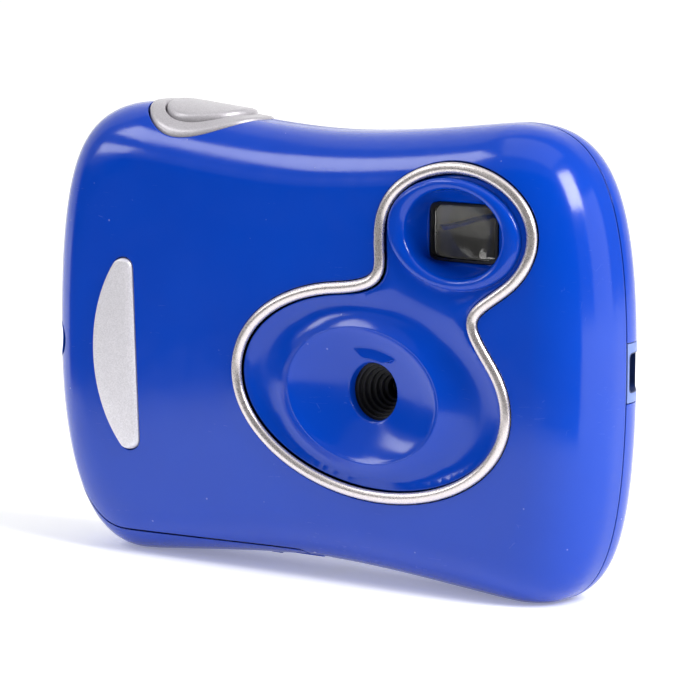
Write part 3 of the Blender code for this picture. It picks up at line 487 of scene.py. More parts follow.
FRONT_SKIN, REAR_SKIN = half_skin("front_skin", FRONT), half_skin("rear_skin", REAR)
BODY_SKIN = whole_skin("body_skin")
FRONT_TREE, BODY_TREE = surface_of(FRONT_SKIN), surface_of(BODY_SKIN)


def face_height(x, z):
    """How far the front face stands before the parting plane at (x, z)."""
    hit = FRONT_TREE.ray_cast(world((x, -50, z)), Vector((0, 1, 0)))[0]
    return (ORIGIN_Y - hit.y) / MM


def top_height(x, y):
    """The case's upper surface above the middle at (x, y)."""
    hit = BODY_TREE.ray_cast(world((x, y, 80)), Vector((0, 0, -1)))[0]
    return (hit.z - ORIGIN_Z) / MM


def door_region(grow):
    left = bezier(*DOOR_LEFT_CURVE, 24)
    outline = [(DOOR_RIGHT, -45.0), (DOOR_RIGHT, DOOR_LINE_Z - 1.4)]
    outline += bezier(outline[-1], (DOOR_RIGHT, DOOR_LINE_Z), (DOOR_RIGHT, DOOR_LINE_Z),
                      (DOOR_RIGHT - 1.6, DOOR_LINE_Z), 6)[1:]
    outline += left + [(-70.0, -21.5), (-70.0, -45.0)]
    return prism("door_region", offset_outline(outline, grow) if grow else outline, "Y", -20, 20)


def cut_shared_openings(shell):
    """The openings that run across both halves of the case."""
    change(shell, tube_along("strap_bore", STRAP_PATH, STRAP_RADIUS))
    change(shell, door_region(GAP))
    change(shell, box("hinge_cut", (DOOR_RIGHT - 1.0, HINGE_FRONT - GAP, -40),
                      (HINGE_X + HINGE_RADIUS + GAP, HINGE_BACK + GAP, HINGE_Z + HINGE_RADIUS + GAP)))
    change(shell, prism("bezel_cut", egg(BEZEL, GAP), "Z", BEZEL_LOW - GAP, 45))


# ---- materials -----------------------------------------------------------------------------------


class Nodes:
    """A material's node tree, with short ways to add and join nodes."""

    def __init__(self, name):
        self.material = bpy.data.materials.new(name)
        self.material.use_nodes = True
        self.tree = self.material.node_tree
        self.shader = self.tree.nodes["Principled BSDF"]
        coordinates = self.tree.nodes.new("ShaderNodeTexCoord")
        scale = self.add("ShaderNodeVectorMath", operation="SCALE")
        self.fill(scale, Scale=1 / MM)
        self.join(coordinates.outputs["Object"], scale.inputs[0])
        self.place = scale.outputs[0]

    def add(self, kind, **settings):
        node = self.tree.nodes.new(kind)
        for key, value in settings.items():
            setattr(node, key, value)
        return node

    def join(self, source, target):
        self.tree.links.new(source, target)

    def feed(self, source, name):
        """Joins a source to one of the shader's inputs."""
        self.join(source, self.shader.inputs[name])

    def fill(self, node, **values):
        """Sets a node's inputs by name, with an underscore for each space."""
        for key, value in values.items():
            node.inputs[key.replace("_", " ")].default_value = value

    def set(self, **values):
        self.fill(self.shader, **values)

    def noise(self, scale, detail=2.0, roughness=0.5):
        """Noise with scale features in a millimetre."""
        node = self.add("ShaderNodeTexNoise")
        self.fill(node, Scale=scale, Detail=detail, Roughness=roughness)
        self.join(self.place, node.inputs["Vector"])
        return node.outputs["Fac"]

    def cells(self, scale, feature="F1"):
        node = self.add("ShaderNodeTexVoronoi", feature=feature)
        self.fill(node, Scale=scale)
        self.join(self.place, node.inputs["Vector"])
        return node

    def range(self, source, low, high, new_low=0.0, new_high=1.0):
        node = self.add("ShaderNodeMapRange")
        self.fill(node, From_Min=low, From_Max=high, To_Min=new_low, To_Max=new_high)
        self.join(source, node.inputs["Value"])
        return node.outputs[0]

    def math(self, operation, a, b):
        node = self.add("ShaderNodeMath", operation=operation, use_clamp=True)
        for slot, value in zip(node.inputs, (a, b)):
            if isinstance(value, (int, float)):
                slot.default_value = value
            else:
                self.join(value, slot)
        return node.outputs[0]

    def mix(self, share, first, second):
        node = self.add("ShaderNodeMix", data_type="RGBA")
        for name, value in (("Factor", share), ("A", first), ("B", second)):
            slot = node.inputs[name]
            if isinstance(value, tuple):
                slot.default_value = (*value, 1.0)
            else:
                self.join(value, slot)
        return node.outputs["Result"]

    def bump(self, height, strength, distance, normal=None):
        node = self.add("ShaderNodeBump")
        self.fill(node, Strength=strength, Distance=distance * MM)
        self.join(height, node.inputs["Height"])
        if normal:
            self.join(normal, node.inputs["Normal"])
        return node.outputs["Normal"]

    def soft_edges(self, radius):
        node = self.add("ShaderNodeBevel", samples=4)
        self.fill(node, Radius=radius * MM)
        return node.outputs["Normal"]

    def dust(self):
        """Small sparse specks: cells whose random colour is rare enough, near their centres."""
        cells = self.cells(0.34)
        near = self.range(cells.outputs["Distance"], 0.07, 0.035)
        split = self.add("ShaderNodeSeparateColor")
        self.join(cells.outputs["Color"], split.inputs[0])
        return self.math("MULTIPLY", near, self.range(split.outputs[0], 0.80, 0.84))

    def scratches(self):
        """Short hairlines: thin edges of stretched cells, kept in a few patches."""
        warp = self.add("ShaderNodeMapping")
        self.fill(warp, Rotation=(0.3, 0.9, 0.2), Scale=(0.10, 0.5, 0.9))
        self.join(self.place, warp.inputs["Vector"])
        cells = self.add("ShaderNodeTexVoronoi", feature="DISTANCE_TO_EDGE")
        self.fill(cells, Scale=0.55)
        self.join(warp.outputs[0], cells.inputs["Vector"])
        line = self.range(cells.outputs["Distance"], 0.012, 0.004)
        patch = self.range(self.noise(0.11, 1.0), 0.58, 0.64)
        breaks = self.range(self.noise(0.8), 0.5, 0.6)
        return self.math("MULTIPLY", line, self.math("MULTIPLY", patch, breaks))


def glossy_plastic(name, colour, deep):
    """Polished moulded plastic with a faint ripple, dust and hairline scratches."""
    nodes = Nodes(name)
    dust, lines = nodes.dust(), nodes.scratches()
    tone = nodes.mix(nodes.range(nodes.noise(0.05, 3.0), 0.3, 0.7), colour, deep)
    specks = nodes.mix(nodes.math("MULTIPLY", dust, 0.3), tone, (0.45, 0.5, 0.7))
    nodes.feed(specks, "Base Color")
    base = nodes.range(nodes.noise(0.25, 4.0, 0.6), 0.3, 0.75, 0.12, 0.19)
    wear = nodes.math("MULTIPLY", nodes.math("ADD", dust, lines), 0.2)
    nodes.feed(nodes.math("ADD", base, wear), "Roughness")
    ripple = nodes.bump(nodes.noise(0.16, 1.0), 0.10, 0.12, nodes.soft_edges(0.22))
    nodes.feed(nodes.bump(dust, 0.12, 0.02, ripple), "Normal")
    nodes.set(IOR=1.45)
    return nodes.material


def silver_paint(name, colour, roughness, metallic, sparkle):
    """Metallic paint: fine flakes that sparkle, under a thin lacquer."""
    nodes = Nodes(name)
    flakes = nodes.cells(7.0)
    split = nodes.add("ShaderNodeSeparateColor")
    nodes.join(flakes.outputs["Color"], split.inputs[0])
    bright = tuple(min(value * (1 + sparkle), 1.0) for value in colour)
    dark = tuple(value * (1 - sparkle) for value in colour)
    tone = nodes.mix(nodes.range(split.outputs[0], 0.0, 1.0), dark, bright)
    blotch = nodes.mix(nodes.range(nodes.noise(0.35, 3.0), 0.3, 0.7, 0.0, 0.25), tone, dark)
    nodes.feed(blotch, "Base Color")
    nodes.feed(nodes.range(split.outputs[1], 0.0, 1.0, roughness - 0.06, roughness + 0.08), "Roughness")
    nodes.feed(nodes.bump(split.outputs[2], 0.4 * sparkle, 0.02, nodes.soft_edges(0.18)), "Normal")
    nodes.set(Metallic=metallic, Coat_Weight=0.3, Coat_Roughness=0.12)
    return nodes.material


def moulded(name, colour, light, roughness, grain=3.0):
    """Plain moulded plastic with a fine spark texture."""
    nodes = Nodes(name)
    tone = nodes.mix(nodes.range(nodes.noise(0.5, 3.0), 0.3, 0.7), colour, light)
    nodes.feed(tone, "Base Color")
    rough = nodes.range(nodes.noise(1.2, 3.0), 0.3, 0.7, roughness - 0.07, roughness + 0.07)
    nodes.feed(rough, "Roughness")
    nodes.feed(nodes.bump(nodes.noise(grain, 2.0), 0.25, 0.02, nodes.soft_edges(0.12)), "Normal")
    return nodes.material


def clear_plastic(name, colour, roughness):
    """Clear plastic with a light haze and dust."""
    nodes = Nodes(name)
    haze = nodes.range(nodes.noise(0.6, 3.0), 0.35, 0.75, roughness, roughness + 0.05)
    nodes.feed(nodes.math("ADD", haze, nodes.math("MULTIPLY", nodes.dust(), 0.3)), "Roughness")
    nodes.set(Base_Color=(*colour, 1.0), Transmission_Weight=1.0, IOR=1.49)
    return nodes.material


def bare_metal(name, colour, roughness):
    """Plated metal, slightly mottled."""
    nodes = Nodes(name)
    darker = tuple(value * 0.8 for value in colour)
    nodes.feed(nodes.mix(nodes.range(nodes.noise(0.9, 4.0), 0.3, 0.7), colour, darker), "Base Color")
    rough = nodes.range(nodes.noise(2.0, 3.0), 0.3, 0.7, roughness - 0.06, roughness + 0.1)
    nodes.feed(rough, "Roughness")
    nodes.feed(nodes.bump(nodes.noise(4.0), 0.15, 0.02, nodes.soft_edges(0.08)), "Normal")
    nodes.set(Metallic=1.0)
    return nodes.material


BLUE = glossy_plastic("blue_plastic", (0.0, 0.049, 0.45), (0.0, 0.044, 0.42))
SILVER = silver_paint("silver_paint", (0.74, 0.72, 0.76), 0.42, 0.35, 0.12)
# Painted shade: a darker copy of the silver paint for the shutter on the case's top, where stronger light
# falls
SILVER_SHADED_FOR_TOP = silver_paint("silver_paint_shaded_top", (0.47, 0.45, 0.48), 0.4, 0.4, 0.12)
TRIM_SILVER = silver_paint("trim_silver", (0.74, 0.68, 0.67), 0.3, 0.8, 0.03)
BLACK = moulded("black_plastic", (0.006, 0.006, 0.008), (0.012, 0.012, 0.014), 0.45)
GUIDE_BLUE = moulded("guide_blue", (0.0, 0.02, 0.2), (0.0, 0.03, 0.26), 0.35)
PORT_GREY = moulded("port_grey", (0.13, 0.2, 0.5), (0.16, 0.24, 0.56), 0.4)
# Painted shade: a dark navy for the thin shell inside the port's opening, in place of the shade there
PORT_SHADE_NAVY = moulded("port_painted_shade", (0.008, 0.022, 0.10), (0.012, 0.03, 0.13), 0.4)
CLEAR = clear_plastic("clear_plastic", (0.93, 0.92, 0.90), 0.07)
STEEL = bare_metal("plated_steel", (0.62, 0.61, 0.6), 0.25)
BRASS = bare_metal("spring_brass", (0.72, 0.55, 0.28), 0.3)
GREEN = moulded("circuit_board", (0.006, 0.09, 0.035), (0.01, 0.13, 0.05), 0.4, 1.5)
CELL_JACKET = moulded("cell_jacket", (0.03, 0.03, 0.035), (0.05, 0.05, 0.055), 0.3, 1.0)


# ---- case ----------------------------------------------------------------------------------------


def front_cover():
    shell = half_skin("front_shell", FRONT)
    thicken(shell, WALL)
    change(shell, prism("panel_opening", loop_outline(TRIM_GAP), "Y", -20, -5))
    change(shell, prism("accent_pocket", accent_outline(0.22), "Y", -20, -11.7))
    cut_shared_openings(shell)
    keep_flow(shell, FRONT_SKIN)
    finish_piece(shell, "case", "blue", BLUE, "front_cover")


def rear_cover():
    shell = half_skin("rear_shell", REAR)
    thicken(shell, WALL)
    for number, centre in enumerate(CASE_SCREWS, 1):
        cup = rod(f"cup_{number}", WELL_RADIUS + CUP_WALL, centre, WELL_FLOOR_Y - WALL, 13.0)
        change(cup, whole_skin("cup_limit", CUP_LIMIT), "INTERSECT")
        change(shell, cup, "UNION")
        change(shell, rod(f"well_{number}", WELL_RADIUS, centre, WELL_FLOOR_Y, 16.0))
    panes = (("screen", (LCD_X, LCD_Z), LCD_HALF), ("eyepiece", (WINDOW_X, WINDOW_Z), EYEPIECE_HALF))
    for name, centre, half in panes:
        outline = soft_rectangle(centre, [side + GAP for side in half])
        change(shell, prism(f"{name}_opening", outline, "Y", 4, 20))
    for name, centre in BACK_BUTTONS.items():
        change(shell, rod(f"{name}_opening", BACK_BUTTON_RADIUS + GAP, centre, 4, 20))
    change(shell, box("port_notch", (40.0, RIM - 0.5, PORT_LOW[1] - GAP / 2),
                      (60.0, PORT_HIGH[0] + GAP / 2, PORT_HIGH[1] + GAP / 2)))
    cut_shared_openings(shell)
    keep_flow(shell, REAR_SKIN)
    finish_piece(shell, "case", "blue", BLUE, "rear_cover")


def battery_door():
    door = whole_skin("door_shell")
    thicken(door, WALL)
    change(door, door_region(0.0), "INTERSECT")
    change(door, box("pedestal", PEDESTAL_LOW, PEDESTAL_HIGH), "UNION")
    web = box("web", (DOOR_RIGHT - 3.0, HINGE_FRONT, HINGE_Z - HINGE_RADIUS),
              (HINGE_X - 0.4, HINGE_BACK, DOOR_LINE_Z - 0.1))
    change(door, web, "UNION")
    change(door, rod("barrel", HINGE_RADIUS, (HINGE_X, HINGE_Z), HINGE_FRONT, HINGE_BACK, 48), "UNION")
    keep_flow(door, BODY_SKIN)
    finish_piece(door, "door", "blue", BLUE, "battery_door")


def strap_guide():
    guide = tube_along("strap_tube", STRAP_PATH, STRAP_RADIUS + STRAP_WALL)
    change(guide, whole_skin("strap_limit", WALL + GAP), "INTERSECT")
    change(guide, tube_along("strap_bore", STRAP_PATH, STRAP_RADIUS))
    smooth(guide, 40)
    finish_piece(guide, "case", "guide_blue", GUIDE_BLUE, "strap_guide")


# ---- lens panel ----------------------------------------------------------------------------------

LIP = {"centre": (FINDER_X, FINDER_Z), "semi": LIP_OUTER, "tilt": -4.0}


def panel_height(x, z):
    """The panel's surface: level with the case at its edge, a moat, then a rise to the crater or the lip."""
    inside = max(-loop_distance(x, z) - TRIM_GAP, 0.0)
    crater, lip = max(ellipse_distance(CRATER, x, z), 0.0), max(ellipse_distance(LIP, x, z), 0.0)
    blend = max(3.0 - abs(crater - lip), 0.0) / 3.0
    near = max(min(crater, lip) - 0.5 * blend**2, 0.0)
    share = near / (near + inside + 1e-6)
    rise = share * share * (3 - 2 * share)
    to_crater = lip / (crater + lip + 1e-6)
    island = CRATER_TOP * to_crater + LIP_FOOT * (1 - to_crater)
    edge = face_height(x, z) - 0.3
    depth = MOAT * min((near + inside) / 7.0, 1.0)
    return island * (1 - rise) + edge * rise - 4 * depth * share * (1 - share)


def within(outline, x, z):
    """Whether a point lies inside a closed outline."""
    inside = False
    for i, (x1, z1) in enumerate(outline):
        x0, z0 = outline[i - 1]
        if (z0 > z) != (z1 > z) and x < x0 + (z - z0) * (x1 - x0) / (z1 - z0):
            inside = not inside
    return inside


def island_distance(x, z):
    """How far a point lies outside the crater and the lip."""
    return min(ellipse_distance(CRATER, x, z), ellipse_distance(LIP, x, z))


def panel_field():
    """The panel between its outer edge, the crater and the lip, as flat triangles that are then raised."""
    edge_steps = ((0.0, -0.42), (0.10, -0.12), (0.28, 0.0))
    rows = [loop_outline(-TRIM_GAP - inset) for inset, _ in edge_steps]
    drops, flat, edges = {}, [], []

    def add_loop(points, drop):
        start = len(flat)
        flat.extend(Vector(point) for point in points)
        for i in range(len(points)):
            edges.append((start + i, start + (i + 1) % len(points)))
            drops[start + i] = drop

    for points, (_, drop) in zip(rows, edge_steps):
        add_loop(points, drop)
    for island in (CRATER, LIP):
        add_loop(ellipse(island["centre"], island["semi"], island["tilt"]), 0.0)
    clear_of_edge = loop_outline(-TRIM_GAP - 0.85)
    step = 0.62
    low, high = (-13.0, -22.0), (46.0, 33.0)
    for row in range(int((high[1] - low[1]) / step)):
        for column in range(int((high[0] - low[0]) / step)):
            x = low[0] + (column + 0.5 * (row % 2)) * step
            z = low[1] + row * step
            if island_distance(x, z) > 0.3 and within(clear_of_edge, x, z):
                flat.append(Vector((x, z)))
    points, _, faces, origins, _, _ = delaunay_2d_cdt(flat, edges, [], 0, 1e-5)
    shape = bmesh.new()
    made = []
    for point, sources in zip(points, origins):
        drop = drops.get(sources[0], 0.0) if sources else 0.0
        made.append(shape.verts.new(world((point.x, -panel_height(point.x, point.y) - drop, point.y))))
    for face in faces:
        x = sum(points[k].x for k in face) / len(face)
        z = sum(points[k].y for k in face) / len(face)
        if island_distance(x, z) >= 0 and within(rows[0], x, z):
            shape.faces.new([made[k] for k in face])
    loose = [vert for vert in shape.verts if not vert.link_faces]
    bmesh.ops.delete(shape, geom=loose, context="VERTS")
    return shape


def crater_rings():
    """The crater's rounded rim, its dish, and the lens hole."""
    tilt, centre = CRATER["tilt"], CRATER["centre"]
    rings = []

    def ring(scale, circle, height, radius=LENS_HOLE):
        outer = ellipse(centre, [semi * scale for semi in CRATER["semi"]], tilt)
        inner = ellipse((LENS_X, LENS_Z), (radius, radius), tilt)
        points = [between(far, near, circle) for far, near in zip(outer, inner)]
        rings.append([(x, -height, z) for x, z in points])

    for scale, drop in ((1.0, 0.0), (0.992, -0.07), (0.982, -0.08), (0.970, 0.0), (0.955, 0.17)):
        ring(scale, 0.0, CRATER_TOP - drop)
    start, steps = CRATER_TOP - 0.17, 20
    for k in range(1, steps + 1):
        share = k / steps
        height = start - (start - HOLE_EDGE) * (1 - (1 - share) ** 1.9)
        ring(0.955 - 0.6 * share, share**2, height, LENS_HOLE + 0.22)
    for grow, height in ((0.1, HOLE_EDGE - 0.06), (0.0, HOLE_EDGE - 0.25), (0.0, HOLE_BACK)):
        ring(0.3, 1.0, height, LENS_HOLE + grow)
    return rings


def lip_rings():
    """The rolled lip round the viewfinder, its cup, and the window's opening."""
    centre, tilt = LIP["centre"], LIP["tilt"]
    rings = []
    steps = 18
    for k in range(steps + 1):
        share = (1 - math.cos(math.pi * k / steps)) / 2
        semi = between(LIP_OUTER, LIP_INNER, share)
        height = LIP_FOOT + LIP_RISE * math.sin(math.pi * k / steps) ** 0.8
        rings.append([(x, -height, z) for x, z in ellipse(centre, semi, tilt)])
    opening = soft_rectangle((WINDOW_X, WINDOW_Z), WINDOW_HALF)
    brim, foot = ellipse(centre, LIP_INNER, tilt), offset_outline(opening, 0.25)
    walls = ((0.06, 11.4), (0.16, 10.8), (0.3, 10.2), (0.46, 9.6), (0.63, 9.1), (0.8, 8.7), (0.92, 8.4))
    for share, height in walls:
        points = [between(near, far, share) for near, far in zip(brim, foot)]
        rings.append([(x, -height, z) for x, z in points])
    for grow, drop in ((0.25, 0.0), (0.05, 0.1), (0.0, 0.3), (0.0, 1.2)):
        rings.append([(x, -(CUP_FLOOR - drop), z) for x, z in offset_outline(opening, grow)])
    return rings


def lens_panel():
    """One skin over the field, the crater and the lip, with a wall behind it."""
    shape = panel_field()
    for rings in (crater_rings(), lip_rings()):
        add_rings(shape, rings)
    bmesh.ops.remove_doubles(shape, verts=shape.verts, dist=0.02 * MM)
    panel = to_object("panel_insert", shape)
    if sum(face.normal.y * face.area for face in panel.data.polygons) > 0:
        panel.data.flip_normals()
    thicken(panel, PANEL_WALL)
    smooth(panel, 50)
    finish_piece(panel, "case", "blue", BLUE, "lens_panel")


def trim_ring():
    """An oval bead, swept round the loop."""
    path = [Vector((x, -face_height(x, z), z)) for x, z in loop_outline()]
    oval = []
    for angle in turns(18):
        across, up = math.cos(angle), math.sin(angle)
        oval.append((TRIM_RADIUS * across, TRIM_HEIGHT * (up if up > 0 else 0.8 * up)))
    rings = []
    for i, point in enumerate(path):
        along = (path[(i + 1) % len(path)] - path[i - 1]).normalized()
        side = along.cross(Vector((0, -1, 0))).normalized()
        up = side.cross(along)
        rings.append([point + side * across + up * rise for across, rise in oval])
    bead = from_rings("trim_bead", rings, cyclic=True)
    smooth(bead, 60)
    finish_piece(bead, "case", "silver", TRIM_SILVER, "trim_ring")


def grip_accent():
    """A flat crescent whose right edge has a wide rounded bevel."""
    steps = ((0.0, 0.0, 11.95), (0.0, 0.0, 12.55), (-0.05, -0.2, 12.9), (-0.13, -0.5, 13.16),
             (-0.25, -0.85, 13.33), (-0.4, -1.15, 13.41), (-0.55, -1.3, 13.43))
    rings = [[(x, -height, z) for x, z in accent_outline(grow, right)] for grow, right, height in steps]
    accent = from_rings("accent_crescent", rings, caps=True)
    smooth(accent, 40)
    finish_piece(accent, "case", "silver", SILVER, "grip_accent")


# ---- shutter release -----------------------------------------------------------------------------


def shutter_plate():
    """A plate that follows the case's top round the button, with rounded edges."""
    count, top_steps = 120, 8
    rings = [[(x, y, BEZEL_LOW) for x, y in egg(BEZEL, 0.0, count)]]

    def top_ring(points, drop):
        rings.append([(x, y, top_height(x, y) + BEZEL_PROUD - drop) for x, y in points])

    for inset, drop in ((0.0, 0.45), (0.08, 0.22), (0.22, 0.07), (0.45, 0.0)):
        top_ring(egg(BEZEL, -inset, count), drop)
    outside, inside = egg(BEZEL, -0.45, count), egg(BUTTON, GAP + 0.3, count)
    for k in range(1, top_steps):
        top_ring([between(far, near, k / top_steps) for far, near in zip(outside, inside)], 0.0)
    for inset, drop in ((0.3, 0.0), (0.12, 0.08), (0.0, 0.3)):
        top_ring(egg(BUTTON, GAP + inset, count), drop)
    rings.append([(x, y, BEZEL_LOW) for x, y in egg(BUTTON, GAP, count)])
    plate = from_rings("shutter_plate", rings, cyclic=True)
    smooth(plate, 50)
    finish_piece(plate, "case", "silver", SILVER_SHADED_FOR_TOP, "shutter_bezel")


def button_height(x, y):
    """The cap's top, which falls to the front and back and to the right."""
    cx, cy = BUTTON["centre"]
    fall = BUTTON_FALL * ((y - cy) / BUTTON["half"]) ** 2
    return BUTTON_TOP - fall - BUTTON_TILT * max(x - cx + 5.0, 0.0)


def shutter_cap():
    """A hollow cap with a skirt and a flange that holds it in, and a stem for the switch."""
    cx, cy = BUTTON["centre"]
    skirt = {**BUTTON, "half": SKIRT_HALF}
    flange = {**skirt, **{side: BUTTON[side] + FLANGE_REACH for side in ("left", "right")}}
    rings = [[(x, y, level) for x, y in egg(skirt, -SKIRT_WALL)] for level in (SKIRT_ROOF, FLANGE_BOTTOM)]
    outside = (
        (flange, FLANGE_BOTTOM), (flange, FLANGE_TOP), (skirt, FLANGE_TOP), (skirt, BUTTON_BOTTOM),
        (BUTTON, BUTTON_BOTTOM),
    )
    for shape, level in outside:
        rings.append([(x, y, level) for x, y in egg(shape)])
    for inset, drop in ((0.0, 0.75), (0.06, 0.42), (0.2, 0.2), (0.42, 0.06), (0.75, 0.0)):
        rings.append([(x, y, button_height(x, y) - drop) for x, y in egg(BUTTON, -inset)])
    for k in range(1, 12):
        scale = (1 - k / 12) * 0.9
        ring = [(cx + (x - cx) * scale, cy + (y - cy) * scale) for x, y in egg(BUTTON)]
        rings.append([(x, y, button_height(x, y)) for x, y in ring])
    cap = from_rings("shutter_cap", rings, (cx, cy, SKIRT_ROOF), (cx, cy, button_height(cx, cy)))
    stem = [(cx + STEM_RADIUS * math.cos(a), cy + STEM_RADIUS * math.sin(a)) for a in turns(32)]
    change(cap, prism("stem", stem, "Z", STEM_LOW, STEM_HIGH), "UNION")
    smooth(cap, 40)
    finish_piece(cap, "shutter", "silver", SILVER_SHADED_FOR_TOP, "shutter_button")


# ---- optics, port and back -----------------------------------------------------------------------


def lens_baffle():
    """A stepped cone whose step edges are slightly rounded, and the lens behind it."""
    front, back, steps = 8.7, 3.4, 6
    depth = (front - back) / steps
    profile = [(5.9, front), (3.4, back)]
    for k in range(steps):
        radius, low = 1.7 + k * 0.5, back + k * depth
        profile += [(radius, low), (radius, low + depth - 0.06), (radius + 0.06, low + depth)]
    baffle = turned("baffle_cone", profile, (LENS_X, 0, LENS_Z), "front", 96, hollow=True)
    smooth(baffle, 30)
    finish_piece(baffle, "case", "black", BLACK, "lens_baffle")
    glass = [(0.5, 2.58), (1.2, 2.45), (1.9, 2.18), (2.35, 1.9), (2.35, 1.3), (1.2, 0.8), (0.5, 0.68)]
    lens = turned("lens_element", glass, (LENS_X, 0, LENS_Z), "front", 64)
    smooth(lens, 40)
    finish_piece(lens, "case", "clear", CLEAR, "front_lens")


def clear_pane(name, centre, half, front, back, edge, node):
    """A flat clear piece between two depths whose outer edges are rounded."""
    outline = soft_rectangle(centre, half)
    steps = ((edge, 0.0), (edge * 0.35, edge * 0.2), (0.0, edge))
    levels = [(inset, front + drop) for inset, drop in steps]
    levels += [(inset, back - drop) for inset, drop in steps[::-1]]
    rings = [[(x, y, z) for x, z in offset_outline(outline, -inset)] for inset, y in levels]
    piece = from_rings(name, rings, caps=True)
    smooth(piece, 40)
    finish_piece(piece, "case", "clear", CLEAR, node)


def clear_windows():
    finder, screen = (WINDOW_X, WINDOW_Z), (LCD_X, LCD_Z)
    clear_pane("finder_pane", finder, PANE_HALF, -7.4, -6.9, 0.08, "viewfinder_window")
    clear_pane("eyepiece_pane", finder, EYEPIECE_HALF, 7.9, 10.2, 0.35, "viewfinder_eyepiece")
    clear_pane("screen_pane", screen, LCD_HALF, 9.4, 10.9, 0.25, "lcd_window")


def viewfinder_tube():
    """A black tube behind the window, with a thin frame that lines the window's opening."""
    steps = (
        (TUBE_OUTER, TUBE_BACK), (TUBE_OUTER, TUBE_FRONT), (FRAME_OUTER, TUBE_FRONT), (FRAME_OUTER, -8.28),
        (FRAME_INNER, -8.36), (FRAME_INNER, -6.7), (TUBE_BORE, TUBE_FRONT), (TUBE_BORE, TUBE_BACK),
    )
    rings = [[(x, y, z) for x, z in soft_rectangle((WINDOW_X, WINDOW_Z), half, 9.0)] for half, y in steps]
    tube = from_rings("finder_tube", rings, cyclic=True)
    smooth(tube, 35)
    finish_piece(tube, "case", "black", BLACK, "viewfinder_tube")


def back_buttons():
    """Round caps with a dished top and a flange that holds them in."""
    radius, flange = BACK_BUTTON_RADIUS, 3.9
    profile = [(0.9, 3.12), (1.8, 3.22), (2.3, 3.26), (2.7, 3.2), (2.98, 3.0), (radius, 2.7)]
    profile += [(radius, 0.35), (flange, 0.35), (flange, 0.0)]
    for name, (x, z) in BACK_BUTTONS.items():
        cap = turned(f"{name}_cap", profile, (x, BACK_BUTTON_BASE, z), "back")
        smooth(cap, 35)
        finish_piece(cap, name, "silver", SILVER, f"{name}_button")


def case_screws():
    """Pan heads with a cross recess."""
    head = WELL_FLOOR_Y + GAP
    profile = [(0.6, 1.6), (1.3, 1.5), (1.8, 1.2), (2.0, 0.8), (2.0, 0.0)]
    profile += [(0.85, 0.0), (0.85, -8.5), (0.4, -8.8)]
    for number, (x, z) in enumerate(CASE_SCREWS, 1):
        screw = turned(f"screw_{number}", profile, (x, head, z), "back", 48)
        for half_x, half_z in ((0.22, 1.15), (1.15, 0.22)):
            slot = box("cross", (x - half_x, head + 0.8, z - half_z), (x + half_x, head + 3, z + half_z))
            change(screw, slot)
        smooth(screw, 35)
        finish_piece(screw, "case", "steel", STEEL, f"case_screw_{number}")


def port():
    """The port's frame, trimmed to the case's side, and a thin dark shell in its opening: painted shade for
    the inside of the opening.
    """
    bezel = box("port_frame", (PORT_X, *PORT_LOW), (58, *PORT_HIGH))
    change(bezel, whole_skin("port_limit"), "INTERSECT")
    change(bezel, prism("port_bar", PORT_BAR, "Z", PORT_LOW[1], PORT_HIGH[1]), "UNION")
    # A copy of the frame becomes a thin dark shell inside the opening: painted shade
    shade_lining = new_object("port_shade_lining", bezel.data.copy())

    def opening(name, inset, start, end):
        outline = soft_rectangle(PORT_MIDDLE, [half - inset for half in PORT_HALF], 9.0)
        return prism(name, outline, "X", start, end)

    change(bezel, opening("port_opening", 0.0, 40, 60))
    change(shade_lining, opening("shade_lining_outside", PORT_SHADE_LINING[0], 40, 60), "INTERSECT")
    change(shade_lining, opening("shade_lining_inside", PORT_SHADE_LINING[1], 39, 61))
    smooth(shade_lining, 35)
    finish_piece(shade_lining, "case", "port_grey", PORT_SHADE_NAVY)
    smooth(bezel, 35)
    finish_piece(bezel, "case", "port_grey", PORT_GREY, "usb_bezel")


def carried_over():
    """Materials for the CAD nodes that keep their own shape."""
    finishes = {
        "steel": STEEL, "brass": BRASS, "circuit_board": GREEN, "cell_jacket": CELL_JACKET, "black": BLACK,
        "clear": CLEAR, "silver": SILVER, "blue": BLUE, "guide_blue": GUIDE_BLUE, "port_grey": PORT_GREY,
    }
    for entry in frame["record"]["subparts"]:
        node = frame["nodes"][entry["node"]]
        for slot in node.material_slots:
            slot.material = finishes[entry["material_slot"]]


# ---- stage ---------------------------------------------------------------------------------------


def floor():
    """A pale sheet that curves up behind the object, and glows a little so that it stays white."""
    half, front, back, bend, top = 2.2, -2.4, 0.9, 0.5, 2.4
    profile = [(front, 0.0), (back, 0.0)]
    for k in range(1, 17):
        angle = math.pi / 2 * k / 16
        profile.append((back + bend * math.sin(angle), bend * (1 - math.cos(angle))))
    profile.append((back + bend, top))
    count = len(profile)
    data = bpy.data.meshes.new("floor")
    data.from_pydata(
        [(x, y, z) for x in (-half, half) for y, z in profile], [],
        [(i, i + count, i + count + 1, i + 1) for i in range(count - 1)],
    )
    sheet = new_object("floor", data)
    data.shade_smooth()
    sheet.rotation_euler = (0, 0, math.radians(CAMERA["yaw"]))
    nodes = Nodes("floor_paper")
    tone = nodes.mix(nodes.range(nodes.noise(0.02), 0.3, 0.7), (0.93, 0.93, 0.93), (0.95, 0.95, 0.95))
    nodes.feed(tone, "Base Color")
    nodes.set(Roughness=0.9, Emission_Color=(1, 1, 1, 1), Emission_Strength=0.25)
    data.materials.append(nodes.material)


CAMERA = {
    "yaw": 36.43, "pitch": 7.64, "roll": 0.41,
    "distance": 646.0, "lens": 206.4, "target": (1.47, 0.0, -0.05),
}


